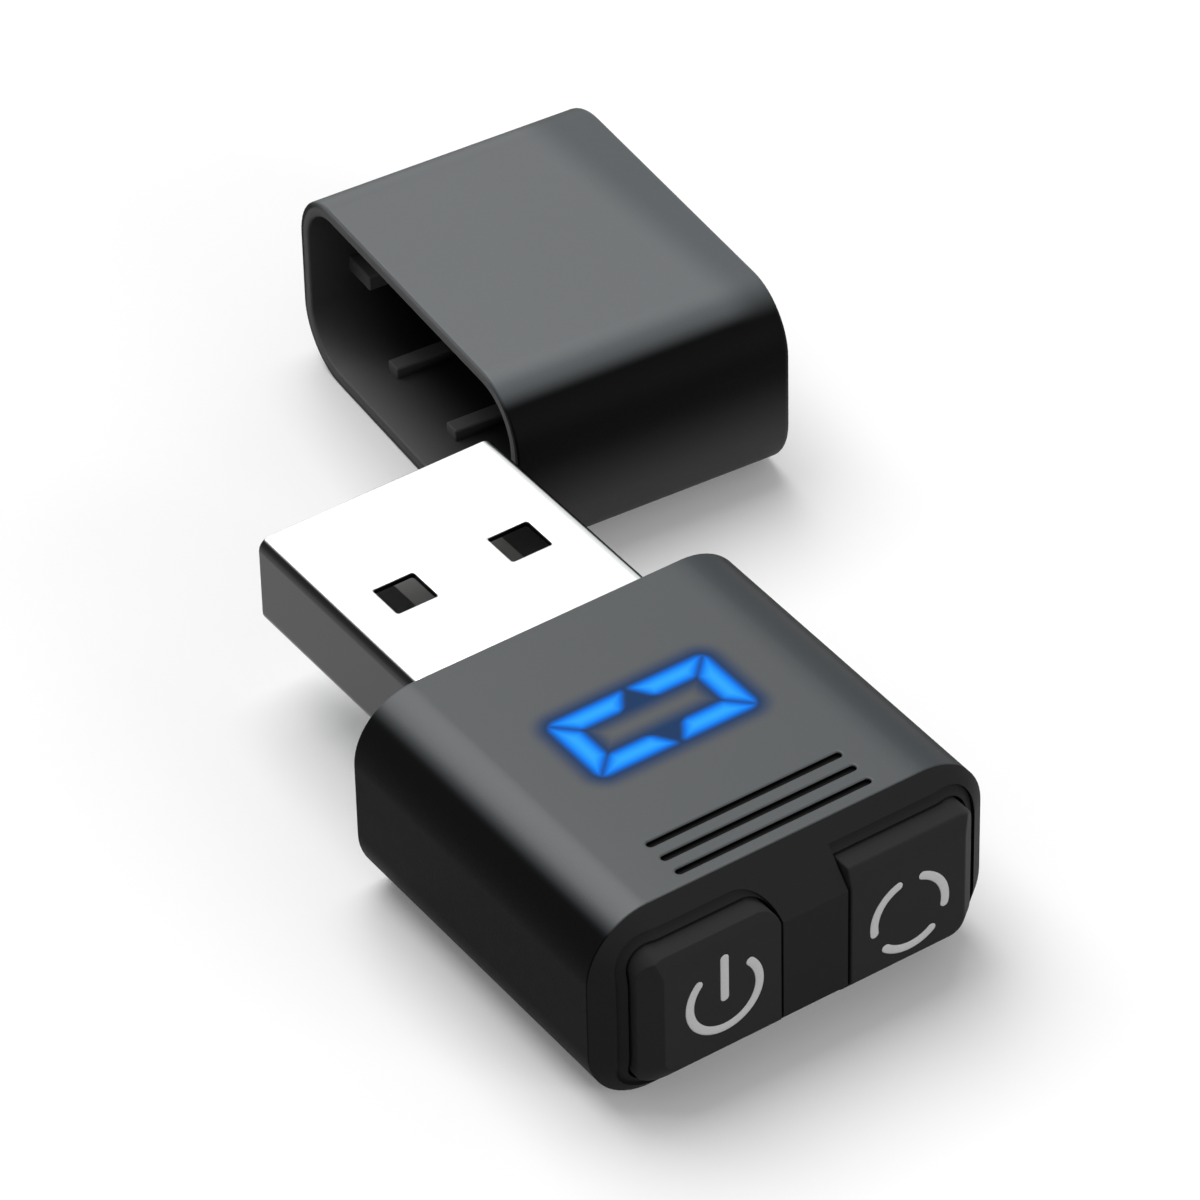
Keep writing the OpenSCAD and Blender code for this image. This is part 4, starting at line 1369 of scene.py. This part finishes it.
class JIGGLER_OT_plug(Operator):
    """Model the folded metal shell of the plug, with its holes and its soldering legs"""

    bl_idname = "jiggler.plug"
    bl_label = "Plug"
    bl_options = {"REGISTER", "UNDO"}

    def execute(self, context):
        make_plug(context.scene)
        return finished("plug_shell")


class JIGGLER_OT_tongue(Operator):
    """Model the plastic tongue in the plug"""

    bl_idname = "jiggler.tongue"
    bl_label = "Tongue"
    bl_options = {"REGISTER", "UNDO"}

    def execute(self, context):
        make_tongue()
        return finished("plug_tongue")


class JIGGLER_OT_cap(Operator):
    """Model the loose cap, with its floor ribs and its side guides"""

    bl_idname = "jiggler.cap"
    bl_label = "Cap"
    bl_options = {"REGISTER", "UNDO"}

    def execute(self, context):
        make_cap(context.scene)
        return finished("cap")


class JIGGLER_OT_inside(Operator):
    """Give the contacts, the circuit board and the parts on it their finishes"""

    bl_idname = "jiggler.inside"
    bl_label = "Inner parts"
    bl_options = {"REGISTER", "UNDO"}

    def execute(self, context):
        finish_inside()
        return {"FINISHED"}


class JIGGLER_PT_steps(Panel):
    """Lists the steps that build the jiggler's looks"""

    bl_idname = "JIGGLER_PT_steps"
    bl_label = "Mouse jiggler"
    bl_space_type = "VIEW_3D"
    bl_region_type = "UI"
    bl_category = "Jiggler"

    def draw(self, context):
        for step in STEPS:
            self.layout.operator(step.bl_idname)


STEPS = (JIGGLER_OT_stage, JIGGLER_OT_sleeve, JIGGLER_OT_bezel, JIGGLER_OT_buttons, JIGGLER_OT_signs,
    JIGGLER_OT_plug, JIGGLER_OT_tongue, JIGGLER_OT_cap, JIGGLER_OT_inside)
SETTINGS = {
    "jiggler_housing": HousingSettings,
    "jiggler_end": EndSettings,
    "jiggler_signs": SignSettings,
    "jiggler_plug": PlugSettings,
    "jiggler_display": DisplaySettings,
    "jiggler_cap": CapSettings,
    "jiggler_stage": StageSettings,
}


def register():
    for cls in (*SETTINGS.values(), *STEPS, JIGGLER_PT_steps):
        bpy.utils.register_class(cls)
    for name, group in SETTINGS.items():
        setattr(bpy.types.Scene, name, PointerProperty(type=group))


def unregister():
    for name in SETTINGS:
        delattr(bpy.types.Scene, name)
    for cls in reversed((*SETTINGS.values(), *STEPS, JIGGLER_PT_steps)):
        bpy.utils.unregister_class(cls)


def main():
    register()
    bpy.ops.jiggler.stage()
    bpy.ops.jiggler.sleeve()
    bpy.ops.jiggler.bezel()
    bpy.ops.jiggler.buttons()
    bpy.ops.jiggler.signs()
    bpy.ops.jiggler.plug()
    bpy.ops.jiggler.tongue()
    bpy.ops.jiggler.cap()
    bpy.ops.jiggler.inside()


if __name__ == "__main__":
    main()
